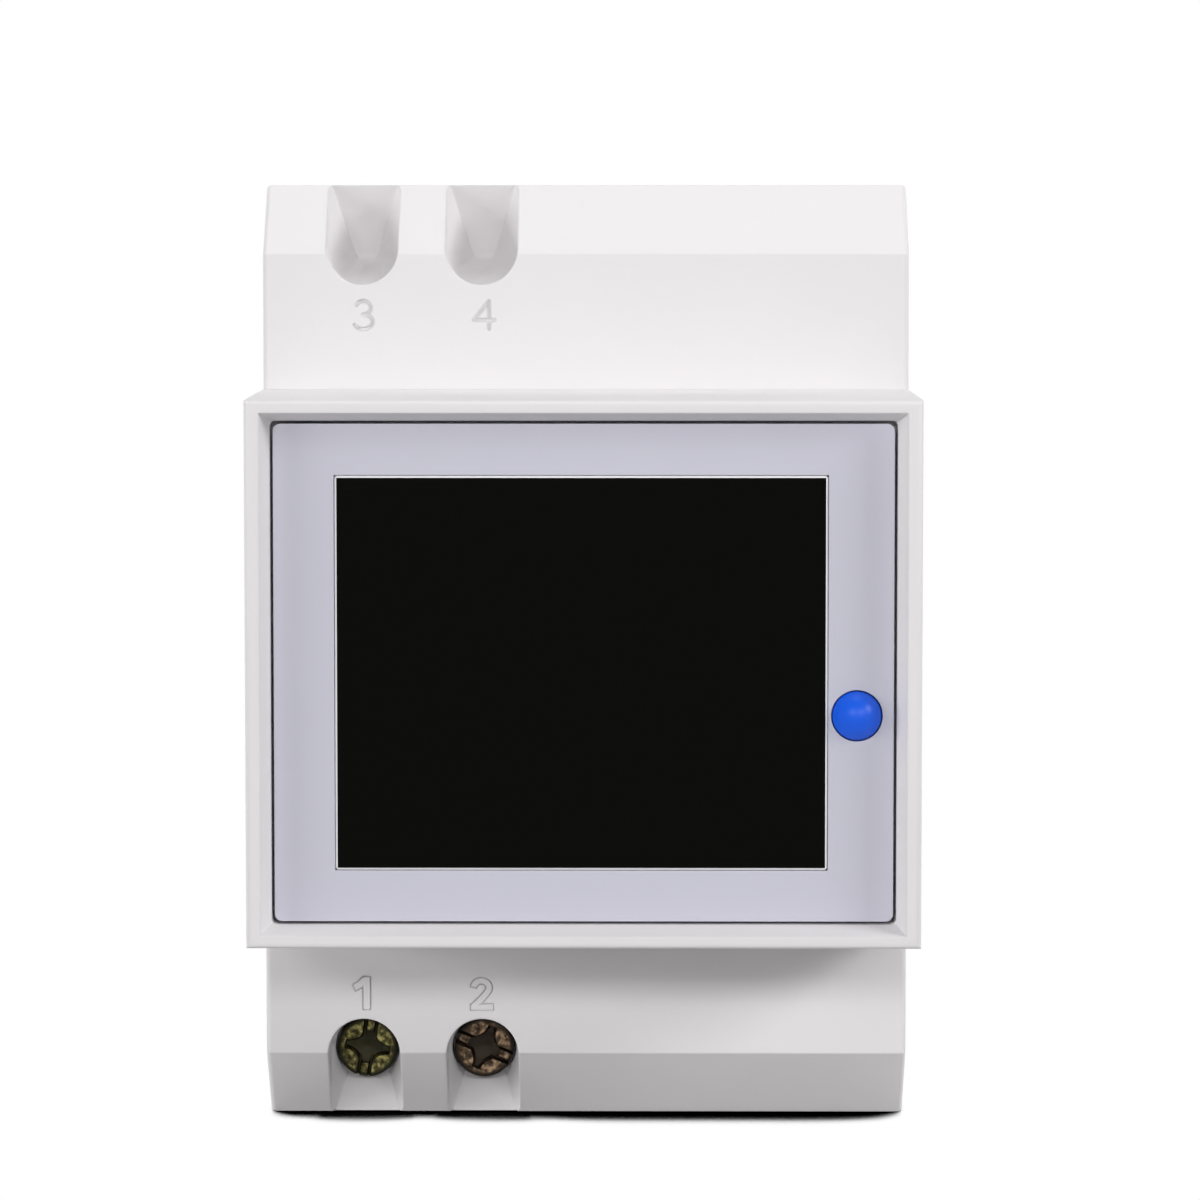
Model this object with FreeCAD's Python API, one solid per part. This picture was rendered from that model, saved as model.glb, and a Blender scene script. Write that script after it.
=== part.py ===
import FreeCAD, Part

import math
import os

from FreeCAD import Vector

# A three-module meter that clips on a 35 mm top-hat rail. X runs across the front, Y into the
# meter and Z up. The origin is the middle of the seat on the rail, so the front lies at -Y.

# Body
module_width = 18.0
module_count = 3
body_width = module_width * module_count
body_height = 79.0
front_depth = 60.0
block_stand = 20.0
block_height = 43.8
block_draft = 1.3
block_round = 0.45
edge_round = 0.4
seam_groove = 0.25
chamfer_depth = 5.0
chamfer_height = 5.85
wall = 1.8
seam_depth = 28.0
foot_depth = 6.0
foot_chamfer_depth = 4.5
foot_chamfer_height = 8.5

# Rail slot and its upper hook
rail_height = 35.0
rail_play = 0.2
rail_wall = 2.0
seat_height = 31.0
seat_stand = 0.3
groove_depth = 1.3
hook_reach = 1.8
hook_lead = 1.0

# Bezel and face panel
bezel_side = 1.2
bezel_end = 1.0
bezel_depth = 2.4
panel_width = 49.7
panel_height = 40.0
panel_thickness = 2.0
panel_round = 0.6
pocket_round = 0.4
panel_gap = 0.25
ledge_reach = 1.5
ledge_thickness = 1.2

# Display window, let into the face panel
window_side_margin = 4.85
window_end_margin = 4.1
lens_thickness = 0.8
lens_gap = 0.05
clear_border = 2.8

# Display stack behind the panel
display_overlap = 1.2
glass_thickness = 1.8
backlight_thickness = 2.8
frame_wall = 0.8
frame_floor = 1.0
display_gap = 0.1
board_thickness = 1.6
board_gap = 0.8

# Push button
button_radius = 1.975
button_play = 0.1
button_inset = 2.95
button_web = 0.225
button_height = -3.4
button_stand = 1.3
button_rim = 0.35
flange_radius = 2.5
flange_thickness = 0.8
flange_clearance = 0.35
stem_radius = 1.2
button_travel = 0.5
switch_size = 4.0
switch_thickness = 2.4
plunger_radius = 0.8
plunger_stand = 0.6
plunger_play = 0.05
plunger_sunk = 0.6

# Posts and screws that hold the boards
post_radius = 1.9
board_screw_radius = 0.95
board_screw_hole = 1.0
board_screw_head = 1.8
board_screw_head_height = 1.3
board_screw_sunk = 3.0
board_screw_tip_gap = 0.1

# Terminals
terminal_pitch = 10.0
terminal_inset = 8.25
notch_radius = 3.05
notch_inset = 5.7
blind_notch_inset = 5.35
notch_mouth_drop = 0.3
notch_slope = 30.0
notch_straight = 4.7
notch_taper = 28.0
notch_depth = 8.6
screw_inset = 5.5
screw_drop = 5.0
head_radius = 2.55
head_thickness = 2.2
head_clearance = 0.2
head_chamfer = 0.3
slot_width = 0.8
slot_depth = 0.7
cross_width = 0.9
cross_reach = 1.7
cross_depth = 1.4
slot_angles = {1: 81.0, 2: -22.5}
thread_radius = 1.75
thread_play = 0.05
shank_clearance = 0.25
web_thickness = 1.2

# Cages and bars. The cage rises towards the screw head and presses the wire on the bar.
thread_pitch = 0.6
clamp_turns = 8
bar_width = 5.0
bar_thickness = 1.5
bar_depth = 24.0
bar_end_gap = 0.4
bar_side_gap = 0.1
cage_side = 0.9
cage_side_gap = 0.3
cage_top = 1.2
cage_bottom = 1.4
cage_inner = 7.2
cage_length = 6.5
cage_play = 0.2
cage_floor_gap = 0.3
clamped_gap = 0.1
tip_gap = 0.1
chamber_wall = 1.2
entry_radius = 2.4
entry_funnel = 0.6
shunt_length = 16.0
shunt_thickness = 1.0
spring_thickness = 0.4
spring_width = 4.6

# Snap hooks between the cover and the base
tongue_width = 6.0
tongue_thickness = 1.2
tongue_gap = 0.1
tongue_root = 5.5
tongue_reach = 9.0
tongue_height = 15.0
barb_reach = 1.1
barb_length = 2.0
snap_window_play = 0.2

# Rail clip and its spring
clip_width = 16.0
clip_thickness = 2.8
clip_play = 0.1
clip_nose = 1.8
clip_nose_bevel = 1.3
clip_lip = 1.8
clip_end_gap = 0.3
clip_tab_slot_width = 6.0
clip_tab_slot_height = 1.8
clip_tab_slot_inset = 1.4
clip_window_width = 5.2
clip_window_height = 10.0
clip_window_inset = 5.8
clip_boss_height = 1.4
coil_wire = 0.22
coil_radius = 1.1
coil_turns = 7
coil_sides = 6

# Power board and the parts on it
power_board_depth = 36.0
power_board_edge = 0.6
parts_gap = 0.7
transformer_width = 15.0
transformer_height = 16.0
transformer_depth = 15.0
transformer_leg = 3.5
winding_gap = 0.1
transformer_x = 5.0
transformer_z = -4.0
film_width = 18.0
film_height = 8.0
film_depth = 15.0
film_round = 0.8
film_z = 20.0
electrolytic_radius = 4.0
electrolytic_depth = 12.0
electrolytic_z = -8.0
electrolytic_pitch = 9.0
varistor_radius = 5.0
varistor_thickness = 4.0
varistor_lead = 2.0
varistor_lead_pitch = 5.0
varistor_x = 8.0
varistor_z = 11.5
fuse_radius = 2.0
fuse_length = 11.0
fuse_z = 8.0
chip_width = 7.5
chip_height = 10.0
chip_thickness = 2.3
chip_x = 4.0
chip_z = -20.0
chip_pins = 8
chip_pin_pitch = 1.2
chip_pin_width = 0.4
chip_pin_reach = 1.3
chip_pin_height = 1.15
controller_size = 10.0
controller_thickness = 1.6
controller_x = 8.0
controller_z = 6.0
crystal_width = 11.0
crystal_height = 4.6
crystal_thickness = 3.5
crystal_round = 1.5
crystal_x = 15.0
crystal_z = -24.5
header_width = 20.0
header_height = 5.0
header_z = -12.0
lead_radius = 0.4
sense_pin_radius = 0.5
sense_pin_inset = 1.5

# Places that follow from the sizes above
front_y = -front_depth
shoulder_y = front_y + block_stand
chamfer_y = shoulder_y + chamfer_depth
seam_y = -seam_depth
half_width = body_width / 2
half_height = body_height / 2
inner_x = half_width - wall
inner_z = half_height - wall
slot_z = rail_height / 2 + rail_play
panel_y = front_y + bezel_depth
panel_back_y = panel_y + panel_thickness
button_hole = button_radius + button_play
button_x = panel_width / 2 - button_inset
window_right = button_x - button_hole - button_web
window_left = window_side_margin - panel_width / 2
window_width = window_right - window_left
window_height = panel_height - 2 * window_end_margin
window_offset = (window_left + window_right) / 2
clear_width = window_width - 2 * clear_border
clear_height = window_height - 2 * clear_border
display_width = clear_width + 2 * display_overlap
display_height = clear_height + 2 * display_overlap
ledge_y = panel_back_y + ledge_thickness
glass_back_y = panel_back_y + glass_thickness
backlight_back_y = glass_back_y + backlight_thickness
display_board_y = backlight_back_y + frame_floor
display_board_back_y = display_board_y + board_thickness
frame_half_width = display_width / 2 + display_gap + frame_wall
frame_half_height = display_height / 2 + display_gap + frame_wall
plunger_y = display_board_y - switch_thickness - plunger_stand
terminal_x = terminal_inset - half_width
screw_height = half_height - screw_inset
notch_arch = half_height - notch_inset
blind_notch_arch = half_height - blind_notch_inset
head_y = shoulder_y + screw_drop
head_seat_y = head_y + head_thickness
web_y = head_seat_y + web_thickness
bar_y = -bar_depth
bar_back_y = bar_y + bar_thickness
clamp_travel = clamp_turns * thread_pitch
cage_inner_half = bar_width / 2 + cage_side_gap
cage_half = cage_inner_half + cage_side
cage_floor_y = bar_back_y + clamped_gap + clamp_travel
cage_back_y = cage_floor_y + cage_bottom
chamber_half = cage_half + cage_play
chamber_back_y = cage_back_y + cage_floor_gap
chamber_low_z = screw_height - cage_length / 2 - cage_play
entry_y = (bar_back_y + cage_floor_y) / 2
terminals = {1: (terminal_x, -1), 2: (terminal_x + terminal_pitch, -1)}
blind_terminals = {3: (terminal_x, 1), 4: (terminal_x + terminal_pitch, 1)}
power_board_y = -power_board_depth
power_board_back_y = power_board_y + board_thickness
well_low_z = chamber_low_z - chamber_wall
parts_edge_x = inner_x - tongue_gap - tongue_thickness - parts_gap
board_post_x = inner_x - post_radius - board_gap
film_x = board_post_x - board_screw_head - parts_gap - film_width / 2
electrolytic_x = parts_edge_x - electrolytic_radius
fuse_x = parts_edge_x - fuse_length / 2
channel_y = groove_depth - clip_play
clip_y = channel_y + clip_play
clip_back_y = clip_y + clip_thickness
channel_half = clip_width / 2 + clip_play
clip_nose_z = clip_nose - slot_z
clip_end_z = clip_end_gap - half_height
boss_z = clip_end_z + clip_window_inset + clip_play
window_top_z = clip_end_z + clip_window_inset + clip_window_height
past = 2.0


def block(x, y, z):
    """A block between a low and a high value along each axis, given in either order."""
    low = Vector(min(x), min(y), min(z))
    high = Vector(max(x), max(y), max(z))
    return Part.makeBox(high.x - low.x, high.y - low.y, high.z - low.z, low)


def centred(x, z, width, height, y):
    """A block of a width and height round an axis along Y."""
    return block((x - width / 2, x + width / 2), y, (z - height / 2, z + height / 2))


def with_round_corners(plate, radius):
    """The block with its four edges along Y rounded."""
    upright = [e for e in plate.Edges if e.BoundBox.YLength > e.BoundBox.XLength + e.BoundBox.ZLength]
    return plate.makeFillet(radius, upright)


def rod(radius, x, z, y):
    """A cylinder along Y between two depths."""
    return Part.makeCylinder(radius, max(y) - min(y), Vector(x, min(y), z), Vector(0, 1, 0))


def carried_across(points, x):
    """An outline of (y, z) points carried along X."""
    corners = [Vector(min(x), y, z) for y, z in points]
    face = Part.Face(Part.makePolygon(corners + corners[:1]))
    return face.extrude(Vector(max(x) - min(x), 0, 0))


def rectangle(width, height, y, x=0.0, z=0.0):
    """A closed rectangle round an axis along Y, at one depth."""
    half_w = width / 2
    half_h = height / 2
    corners = [Vector(x - half_w, y, z - half_h), Vector(x + half_w, y, z - half_h),
               Vector(x + half_w, y, z + half_h), Vector(x - half_w, y, z + half_h)]
    return Part.makePolygon(corners + corners[:1])


def united(shapes):
    """One shape from several that touch, with split faces joined again."""
    return shapes[0].multiFuse(shapes[1:]).removeSplitter()


def save(name, *solids):
    """One file for each named piece. Like pieces share a file as separate solids."""
    shape = solids[0] if len(solids) == 1 else Part.makeCompound(list(solids))
    shape.exportStep(os.path.join("parts", name + ".step"))


def side_outline():
    """The body seen from the side, without the front block: shoulders, chamfers, ends and feet."""
    edge_z = half_height - chamfer_height
    foot_z = half_height - foot_chamfer_height
    half = [(shoulder_y, edge_z), (chamfer_y, half_height),
            (foot_depth - foot_chamfer_depth, half_height), (foot_depth, foot_z)]
    return half + [(y, -z) for y, z in reversed(half)]


def body_prism():
    """The outline carried across the width, with its side edges rounded."""
    prism = carried_across(side_outline(), (-half_width, half_width))
    rims = [e for e in prism.Edges if e.BoundBox.XLength < edge_round]
    return prism.makeFillet(edge_round, rims)


def side_cavity():
    """The same outline one wall thickness inside, between the side walls."""
    corners = [Vector(-inner_x, y, z) for y, z in side_outline()]
    face = Part.Face(Part.makePolygon(corners + corners[:1]))
    inner = face.makeOffset2D(-wall, 2)
    return inner.extrude(Vector(2 * inner_x, 0, 0))


def notch_cut(x, side, floor_y, arch):
    """What a terminal notch takes out of the cover: a U with straight walls in front and drawn-in
    walls behind, down to a ramp that rises to the body's end, or to a flat floor."""
    top_y = shoulder_y - past
    neck_y = shoulder_y + notch_straight
    deep_radius = notch_radius - (floor_y - neck_y) * math.tan(math.radians(notch_taper))
    arch_z = side * arch
    open_z = side * (half_height + past)
    section = [(notch_radius, top_y), (notch_radius, neck_y), (deep_radius, floor_y)]
    corners = [Vector(x + reach, y, arch_z) for reach, y in section]
    corners += [Vector(x - reach, y, arch_z) for reach, y in reversed(section)]
    slot = Part.Face(Part.makePolygon(corners + corners[:1])).extrude(Vector(0, 0, open_z - arch_z))
    straight_arch = rod(notch_radius, x, arch_z, (top_y, neck_y))
    tapered_arch = Part.makeCone(notch_radius, deep_radius, floor_y - neck_y,
                                 Vector(x, neck_y, arch_z), Vector(0, 1, 0))
    ramp_slope = math.tan(math.radians(notch_slope))
    mouth_y = chamfer_y + notch_mouth_drop
    far_z = arch - 2 * notch_radius
    above_ramp = [(top_y, open_z), (mouth_y - past * ramp_slope, open_z),
                  (mouth_y + (half_height - far_z) * ramp_slope, side * far_z), (top_y, side * far_z)]
    ramp_room = carried_across(above_ramp, (x - 2 * notch_radius, x + 2 * notch_radius))
    return united([slot, straight_arch, tapered_arch]).common(ramp_room)


def well_block(side, y):
    """The thick corner round a pair of terminals, inside the end wall."""
    margin = chamber_half + chamber_wall
    across = (terminal_x - margin, terminal_x + terminal_pitch + margin)
    return block(across, y, (side * well_low_z, side * inner_z))


def cage_channel(x, side, y):
    """The straight-sided way that a cage rises and falls in."""
    reach = (side * chamber_low_z, side * (chamber_low_z + cage_length + 2 * cage_play))
    return block((x - chamber_half, x + chamber_half), y, reach)


def panel_posts():
    """Where the display board's posts stand: two opposite corners of the face panel's ledge."""
    z = panel_height / 2 - post_radius
    return [(board_post_x, z), (-board_post_x, -z)]


def shoulder_posts():
    """Where the power board's posts stand: two opposite corners between the terminals."""
    z = well_low_z - post_radius - board_gap
    return [(board_post_x, z), (-board_post_x, -z)]


def front_block():
    """The raised block: straight sides, with a little draft on its top and bottom."""
    half_front = block_height / 2
    half_root = half_front + block_stand * math.tan(math.radians(block_draft))
    outline = [(front_y, -half_front), (front_y, half_front),
               (shoulder_y, half_root), (shoulder_y, -half_root)]
    raised = carried_across(outline, (-half_width, half_width))
    outer = [e for e in raised.Edges if e.BoundBox.YMax < front_y + block_round]
    return raised.makeFillet(block_round, outer)


def bezel_recess():
    """The sloping mouth of the bezel and the straight pocket that takes the face panel."""
    pocket_width = panel_width + 2 * panel_gap
    pocket_height = panel_height + 2 * panel_gap
    mouth = rectangle(body_width - 2 * bezel_side, block_height - 2 * bezel_end, front_y)
    floor = rectangle(pocket_width, pocket_height, panel_y)
    slope = Part.makeLoft([mouth, floor], True, True)
    pocket = with_round_corners(centred(0, 0, pocket_width, pocket_height, (panel_y, panel_back_y)),
                                pocket_round)
    ledge_width = pocket_width - 2 * ledge_reach
    ledge_height = pocket_height - 2 * ledge_reach
    opening = centred(0, 0, ledge_width, ledge_height, (panel_back_y, ledge_y))
    behind = centred(0, 0, 2 * inner_x, pocket_height, (ledge_y, shoulder_y + wall))
    return united([slope, pocket, opening, behind])


def snap_tongues():
    """Four springy tongues with barbs that hold the cover in the base's windows."""
    tongues = []
    for side in (-1, 1):
        for end in (-1, 1):
            z = (end * tongue_height - tongue_width / 2, end * tongue_height + tongue_width / 2)
            outer = inner_x - tongue_gap
            inner = outer - tongue_thickness
            root = block((side * inner, side * inner_x), (seam_y - tongue_root, seam_y), z)
            leaf = block((side * inner, side * outer), (seam_y, seam_y + tongue_reach), z)
            tip_y = seam_y + tongue_reach
            barb = Part.Face(Part.makePolygon([
                Vector(side * outer, tip_y, min(z)),
                Vector(side * outer, tip_y - barb_length, min(z)),
                Vector(side * (outer + barb_reach), tip_y - barb_length, min(z)),
                Vector(side * outer, tip_y, min(z))])).extrude(Vector(0, 0, tongue_width))
            tongues += [root, leaf, barb]
    return tongues


def front_cover():
    """The white cover: shoulders, front block, bezel, notches and the wells behind them."""
    shell = body_prism().fuse(front_block())
    behind = block((-body_width, body_width), (seam_y, foot_depth + past), (-body_height, body_height))
    hollow = side_cavity().cut(well_block(-1, (shoulder_y, seam_y)))
    hollow = hollow.cut(well_block(1, (shoulder_y, seam_y)))
    cover = shell.cut([hollow, bezel_recess(), behind])
    posts = []
    for x, z in panel_posts():
        posts.append(rod(post_radius, x, z, (ledge_y, display_board_y)))
    for x, z in shoulder_posts():
        posts.append(rod(post_radius, x, z, (shoulder_y + wall, power_board_y)))
    cover = united([cover] + posts + snap_tongues())
    cuts = []
    for x, side in blind_terminals.values():
        cuts.append(notch_cut(x, side, shoulder_y + notch_depth, blind_notch_arch))
    for x, side in terminals.values():
        z = side * screw_height
        cuts.append(notch_cut(x, side, head_seat_y, notch_arch))
        cuts.append(rod(head_radius + head_clearance, x, z, (shoulder_y, head_seat_y)))
        cuts.append(rod(thread_radius + shank_clearance, x, z, (head_seat_y, web_y)))
        cuts.append(cage_channel(x, side, (web_y, seam_y + past)))
    for x, z in panel_posts():
        cuts.append(rod(board_screw_hole, x, z, (display_board_y - board_screw_sunk, display_board_y)))
    for x, z in shoulder_posts():
        cuts.append(rod(board_screw_hole, x, z, (shoulder_y + wall, power_board_y)))
    cuts.append(rod(flange_radius + flange_clearance, button_x, button_height, (panel_back_y, ledge_y)))
    cuts.append(seam_step(seam_y - seam_groove))
    return cover.cut(cuts)


def seam_step(y):
    """A shallow shadow gap round the whole body beside the seam, one groove wide from y."""
    band = block((-body_width, body_width), (y, y + seam_groove), (-body_height, body_height))
    kept = block((seam_groove - half_width, half_width - seam_groove), (y, y + seam_groove),
                 (seam_groove - half_height, half_height - seam_groove))
    return band.cut(kept)


def rail_slot():
    """The slot for the rail: full height in front, narrower behind the hook, which leads in at its tip."""
    hook_z = slot_z - hook_reach
    outline = [(-seat_stand, -slot_z), (-seat_stand, slot_z), (groove_depth, slot_z),
               (groove_depth, hook_z), (foot_depth - hook_lead, hook_z),
               (foot_depth, hook_z + hook_lead), (foot_depth + past, hook_z + hook_lead),
               (foot_depth + past, -slot_z)]
    return carried_across(outline, (-body_width, body_width))


def base_housing():
    """The rear half: terminal chambers, wire entries, rail slot with its hook, and the clip's guides."""
    outer = body_prism()
    ahead = block((-body_width, body_width), (shoulder_y - past, seam_y), (-body_height, body_height))
    rail_zone = block((-body_width, body_width), (-rail_wall, foot_depth),
                      (-slot_z - wall, slot_z + wall))
    clip_zone = block((-channel_half - wall, channel_half + wall),
                      (channel_y - wall, foot_depth), (-half_height, -slot_z))
    hollow = side_cavity().cut([rail_zone, clip_zone])
    base = outer.cut([ahead, hollow, rail_slot()])
    seat = block((-half_width, half_width), (-rail_wall, 0.0), (-seat_height / 2, seat_height / 2))
    chambers = [well_block(side, (seam_y, chamber_back_y + chamber_wall)) for side in (-1, 1)]
    base = united([base, seat] + chambers)
    lip_y = clip_back_y + clip_play
    cuts = [block((-channel_half, channel_half), (channel_y, lip_y), (-half_height - past, -slot_z + past))]
    lip_half = channel_half - clip_lip
    cuts.append(block((-lip_half, lip_half), (lip_y, foot_depth + past),
                      (-half_height - past, -slot_z + past)))
    for x, side in list(terminals.values()) + list(blind_terminals.values()):
        cuts.append(cage_channel(x, side, (seam_y - past, chamber_back_y)))
        bar_slot = bar_width / 2 + bar_side_gap
        cuts.append(block((x - bar_slot, x + bar_slot), (seam_y - past, bar_back_y),
                          (side * (well_low_z - past), side * chamber_low_z)))
        inward = Vector(0, 0, -side)
        mouth = Vector(x, entry_y, side * half_height)
        cuts.append(Part.makeCylinder(entry_radius, wall + cage_play + past, mouth, inward))
        cuts.append(Part.makeCone(entry_radius + entry_funnel, entry_radius, entry_funnel, mouth, inward))
    for side in (-1, 1):
        for end in (-1, 1):
            z_half = tongue_width / 2 + snap_window_play
            tip_y = seam_y + tongue_reach
            low_y = tip_y - barb_length - tongue_gap
            cuts.append(block((side * (inner_x - past), side * (half_width + past)),
                              (low_y, tip_y + snap_window_play),
                              (end * tongue_height - z_half, end * tongue_height + z_half)))
    base = base.cut(cuts)
    boss_half = clip_window_width / 2 - clip_play
    boss = block((-boss_half, boss_half), (channel_y, clip_back_y), (boss_z, boss_z + clip_boss_height))
    return united([base, boss])


def face_panel():
    """The satin plate: a shallow pocket for the lens, the clear opening and the button's hole."""
    panel = with_round_corners(centred(0, 0, panel_width, panel_height, (panel_y, panel_back_y)),
                               panel_round)
    pocket = centred(window_offset, 0, window_width, window_height, (panel_y, panel_y + lens_thickness))
    opening = centred(window_offset, 0, clear_width, clear_height, (panel_y, panel_back_y))
    hole = rod(button_hole, button_x, button_height, (panel_y, panel_back_y))
    return panel.cut([pocket, opening, hole])


def window_lens():
    """The near-black glossy window, flush with the face panel."""
    return centred(window_offset, 0, window_width - 2 * lens_gap, window_height - 2 * lens_gap,
                   (panel_y, panel_y + lens_thickness))


def lcd_frame():
    """A tray that holds the glass and the backlight against the back of the panel."""
    tray = centred(window_offset, 0, 2 * frame_half_width, 2 * frame_half_height,
                   (panel_back_y, display_board_y))
    room = centred(window_offset, 0, display_width + 2 * display_gap, display_height + 2 * display_gap,
                   (panel_back_y, backlight_back_y))
    return tray.cut(room)


def screwed_board(width, height, y, places):
    """A circuit board with clearance holes for its screws."""
    board = centred(0, 0, width, height, (y, y + board_thickness))
    holes = [rod(board_screw_hole, x, z, (y, y + board_thickness)) for x, z in places]
    return board.cut(holes)


def board_screws(places, seat_y, tip_y):
    """Small pan-head screws through a board into its posts."""
    screws = []
    for x, z in places:
        shank = rod(board_screw_radius, x, z, (tip_y, seat_y))
        head = rod(board_screw_head, x, z, (seat_y, seat_y + board_screw_head_height))
        screws.append(shank.fuse(head).removeSplitter())
    return screws


def button_cap():
    """The domed cap, its shaft through the panel, the flange that keeps it in and the stem."""
    rim_y = panel_y - button_rim
    crown_y = panel_y - button_stand
    flange_y = panel_back_y + button_play / 2
    flange_back_y = flange_y + flange_thickness
    rise = rim_y - crown_y
    ball = (button_radius ** 2 + rise ** 2) / (2 * rise)
    middle = button_radius / 2
    middle_y = crown_y + ball - math.sqrt(ball ** 2 - middle ** 2)
    dome = Part.Arc(Vector(0, crown_y, 0), Vector(middle, middle_y, 0), Vector(button_radius, rim_y, 0))
    corners = [Vector(button_radius, rim_y, 0), Vector(button_radius, flange_y, 0),
               Vector(flange_radius, flange_y, 0), Vector(flange_radius, flange_back_y, 0),
               Vector(stem_radius, flange_back_y, 0), Vector(stem_radius, plunger_y, 0),
               Vector(0, plunger_y, 0), Vector(0, crown_y, 0)]
    outline = Part.Wire([dome.toShape()] + Part.makePolygon(corners).Edges)
    cap = Part.Face(outline).revolve(Vector(0, 0, 0), Vector(0, 1, 0), 360)
    cap.translate(Vector(button_x, 0, button_height))
    return cap


def tact_switch():
    """The switch under the button, with a well for its plunger."""
    body = centred(button_x, button_height, switch_size, switch_size,
                   (display_board_y - switch_thickness, display_board_y))
    well_y = plunger_y + plunger_stand + plunger_sunk + button_travel + button_play
    well = rod(plunger_radius + plunger_play, button_x, button_height,
               (display_board_y - switch_thickness, well_y))
    return body.cut(well)


def switch_plunger():
    """The switch's small round plunger, which the button's stem rests on."""
    return rod(plunger_radius, button_x, button_height,
               (plunger_y, plunger_y + plunger_stand + plunger_sunk))


def terminal_screw(x, side, slot_angle):
    """A combination-head screw: a slot across the head and a deeper cross."""
    z = side * screw_height
    head = rod(head_radius, x, z, (head_y, head_seat_y))
    rim = [e for e in head.Edges if abs(e.BoundBox.YMax - head_y) < head_chamfer and e.Closed]
    head = head.makeChamfer(head_chamfer, rim[:1])
    shank = rod(thread_radius, x, z, (head_seat_y, bar_y - tip_gap))
    middle = Vector(x, 0, z)
    slot = centred(x, z, 2 * head_radius + past, slot_width, (head_y, head_y + slot_depth))
    one_arm = centred(x, z, 2 * cross_reach, cross_width, (head_y, head_y + cross_depth))
    other_arm = centred(x, z, cross_width, 2 * cross_reach, (head_y, head_y + cross_depth))
    recess = slot.multiFuse([one_arm, other_arm])
    recess.rotate(middle, Vector(0, 1, 0), -slot_angle)
    return head.fuse(shank).removeSplitter().cut(recess)


def terminal_cage(x, side):
    """A steel loop round the bar, threaded on its screw, shown at its open end of travel."""
    low = side * (screw_height - cage_length / 2)
    high = side * (screw_height + cage_length / 2)
    top_y = cage_floor_y - cage_inner - cage_top
    loop = block((x - cage_half, x + cage_half), (top_y, cage_back_y), (low, high))
    room = block((x - cage_inner_half, x + cage_inner_half), (top_y + cage_top, cage_floor_y), (low, high))
    hole = rod(thread_radius + thread_play, x, side * screw_height, (top_y, top_y + cage_top))
    return loop.cut([room, hole])


def bar(x, low_z, high_z):
    """A straight copper bar that the cages or springs clamp wires to."""
    return block((x - bar_width / 2, x + bar_width / 2), (bar_y, bar_back_y), (low_z, high_z))


def shunt_strip():
    """The thinner resistance strip brazed between the two line bars."""
    return block((terminal_x - bar_width / 2, terminal_x + bar_width / 2),
                 (bar_back_y - shunt_thickness, bar_back_y), (-shunt_length / 2, shunt_length / 2))


def push_in_spring(x, side):
    """A bent leaf that presses a pushed-in wire on the bar: one leg on the floor, one rising."""
    floor_y = chamber_back_y
    near_z = chamber_low_z + cage_side_gap
    far_z = chamber_low_z + cage_length - cage_side_gap
    tip_y = bar_back_y + cage_side_gap
    leaf = [(floor_y, near_z), (floor_y, far_z), (floor_y - spring_thickness, far_z),
            (tip_y, near_z + spring_thickness), (tip_y, near_z),
            (floor_y - 2 * spring_thickness, far_z - 2 * spring_thickness),
            (floor_y - spring_thickness, far_z - 2 * spring_thickness), (floor_y - spring_thickness, near_z)]
    across = (x - spring_width / 2, x + spring_width / 2)
    return carried_across([(y, side * z) for y, z in leaf], across)


def din_clip():
    """The sliding latch: a bevelled nose, a window for its spring and a slot for a screwdriver."""
    bevel_y = clip_back_y - clip_nose_bevel
    outline = [(clip_y, clip_nose_z), (bevel_y, clip_nose_z),
               (clip_back_y, clip_nose_z - clip_nose_bevel), (clip_back_y, clip_end_z), (clip_y, clip_end_z)]
    plate = carried_across(outline, (-clip_width / 2, clip_width / 2))
    depth = (clip_y, clip_back_y)
    window = block((-clip_window_width / 2, clip_window_width / 2), depth,
                   (clip_end_z + clip_window_inset, window_top_z))
    slot = block((-clip_tab_slot_width / 2, clip_tab_slot_width / 2), depth,
                 (clip_end_z + clip_tab_slot_inset, clip_end_z + clip_tab_slot_inset + clip_tab_slot_height))
    return plate.cut([window, slot])


def arc_under(start, corner, end):
    """The arc from start to end whose tangents meet at the corner."""
    middle = (start + end) / 2
    half_chord = (end - start).Length / 2
    half_turn = math.atan2((corner - middle).Length, half_chord)
    top = middle + (corner - middle).normalize() * half_chord * math.tan(half_turn / 2)
    return Part.Arc(start, top, end).toShape()


def biarc(start, start_way, end, end_way):
    """Two arcs that leave start and reach end along their headings and join smoothly between."""
    across = end - start
    ways = start_way + end_way
    a = 2 * (1 - start_way.dot(end_way))
    b = 2 * across.dot(ways)
    reach = (math.sqrt(b ** 2 + 4 * a * across.dot(across)) - b) / (2 * a)
    first_corner = start + start_way * reach
    last_corner = end - end_way * reach
    joint = (first_corner + last_corner) / 2
    return [arc_under(start, first_corner, joint), arc_under(joint, last_corner, end)]


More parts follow.
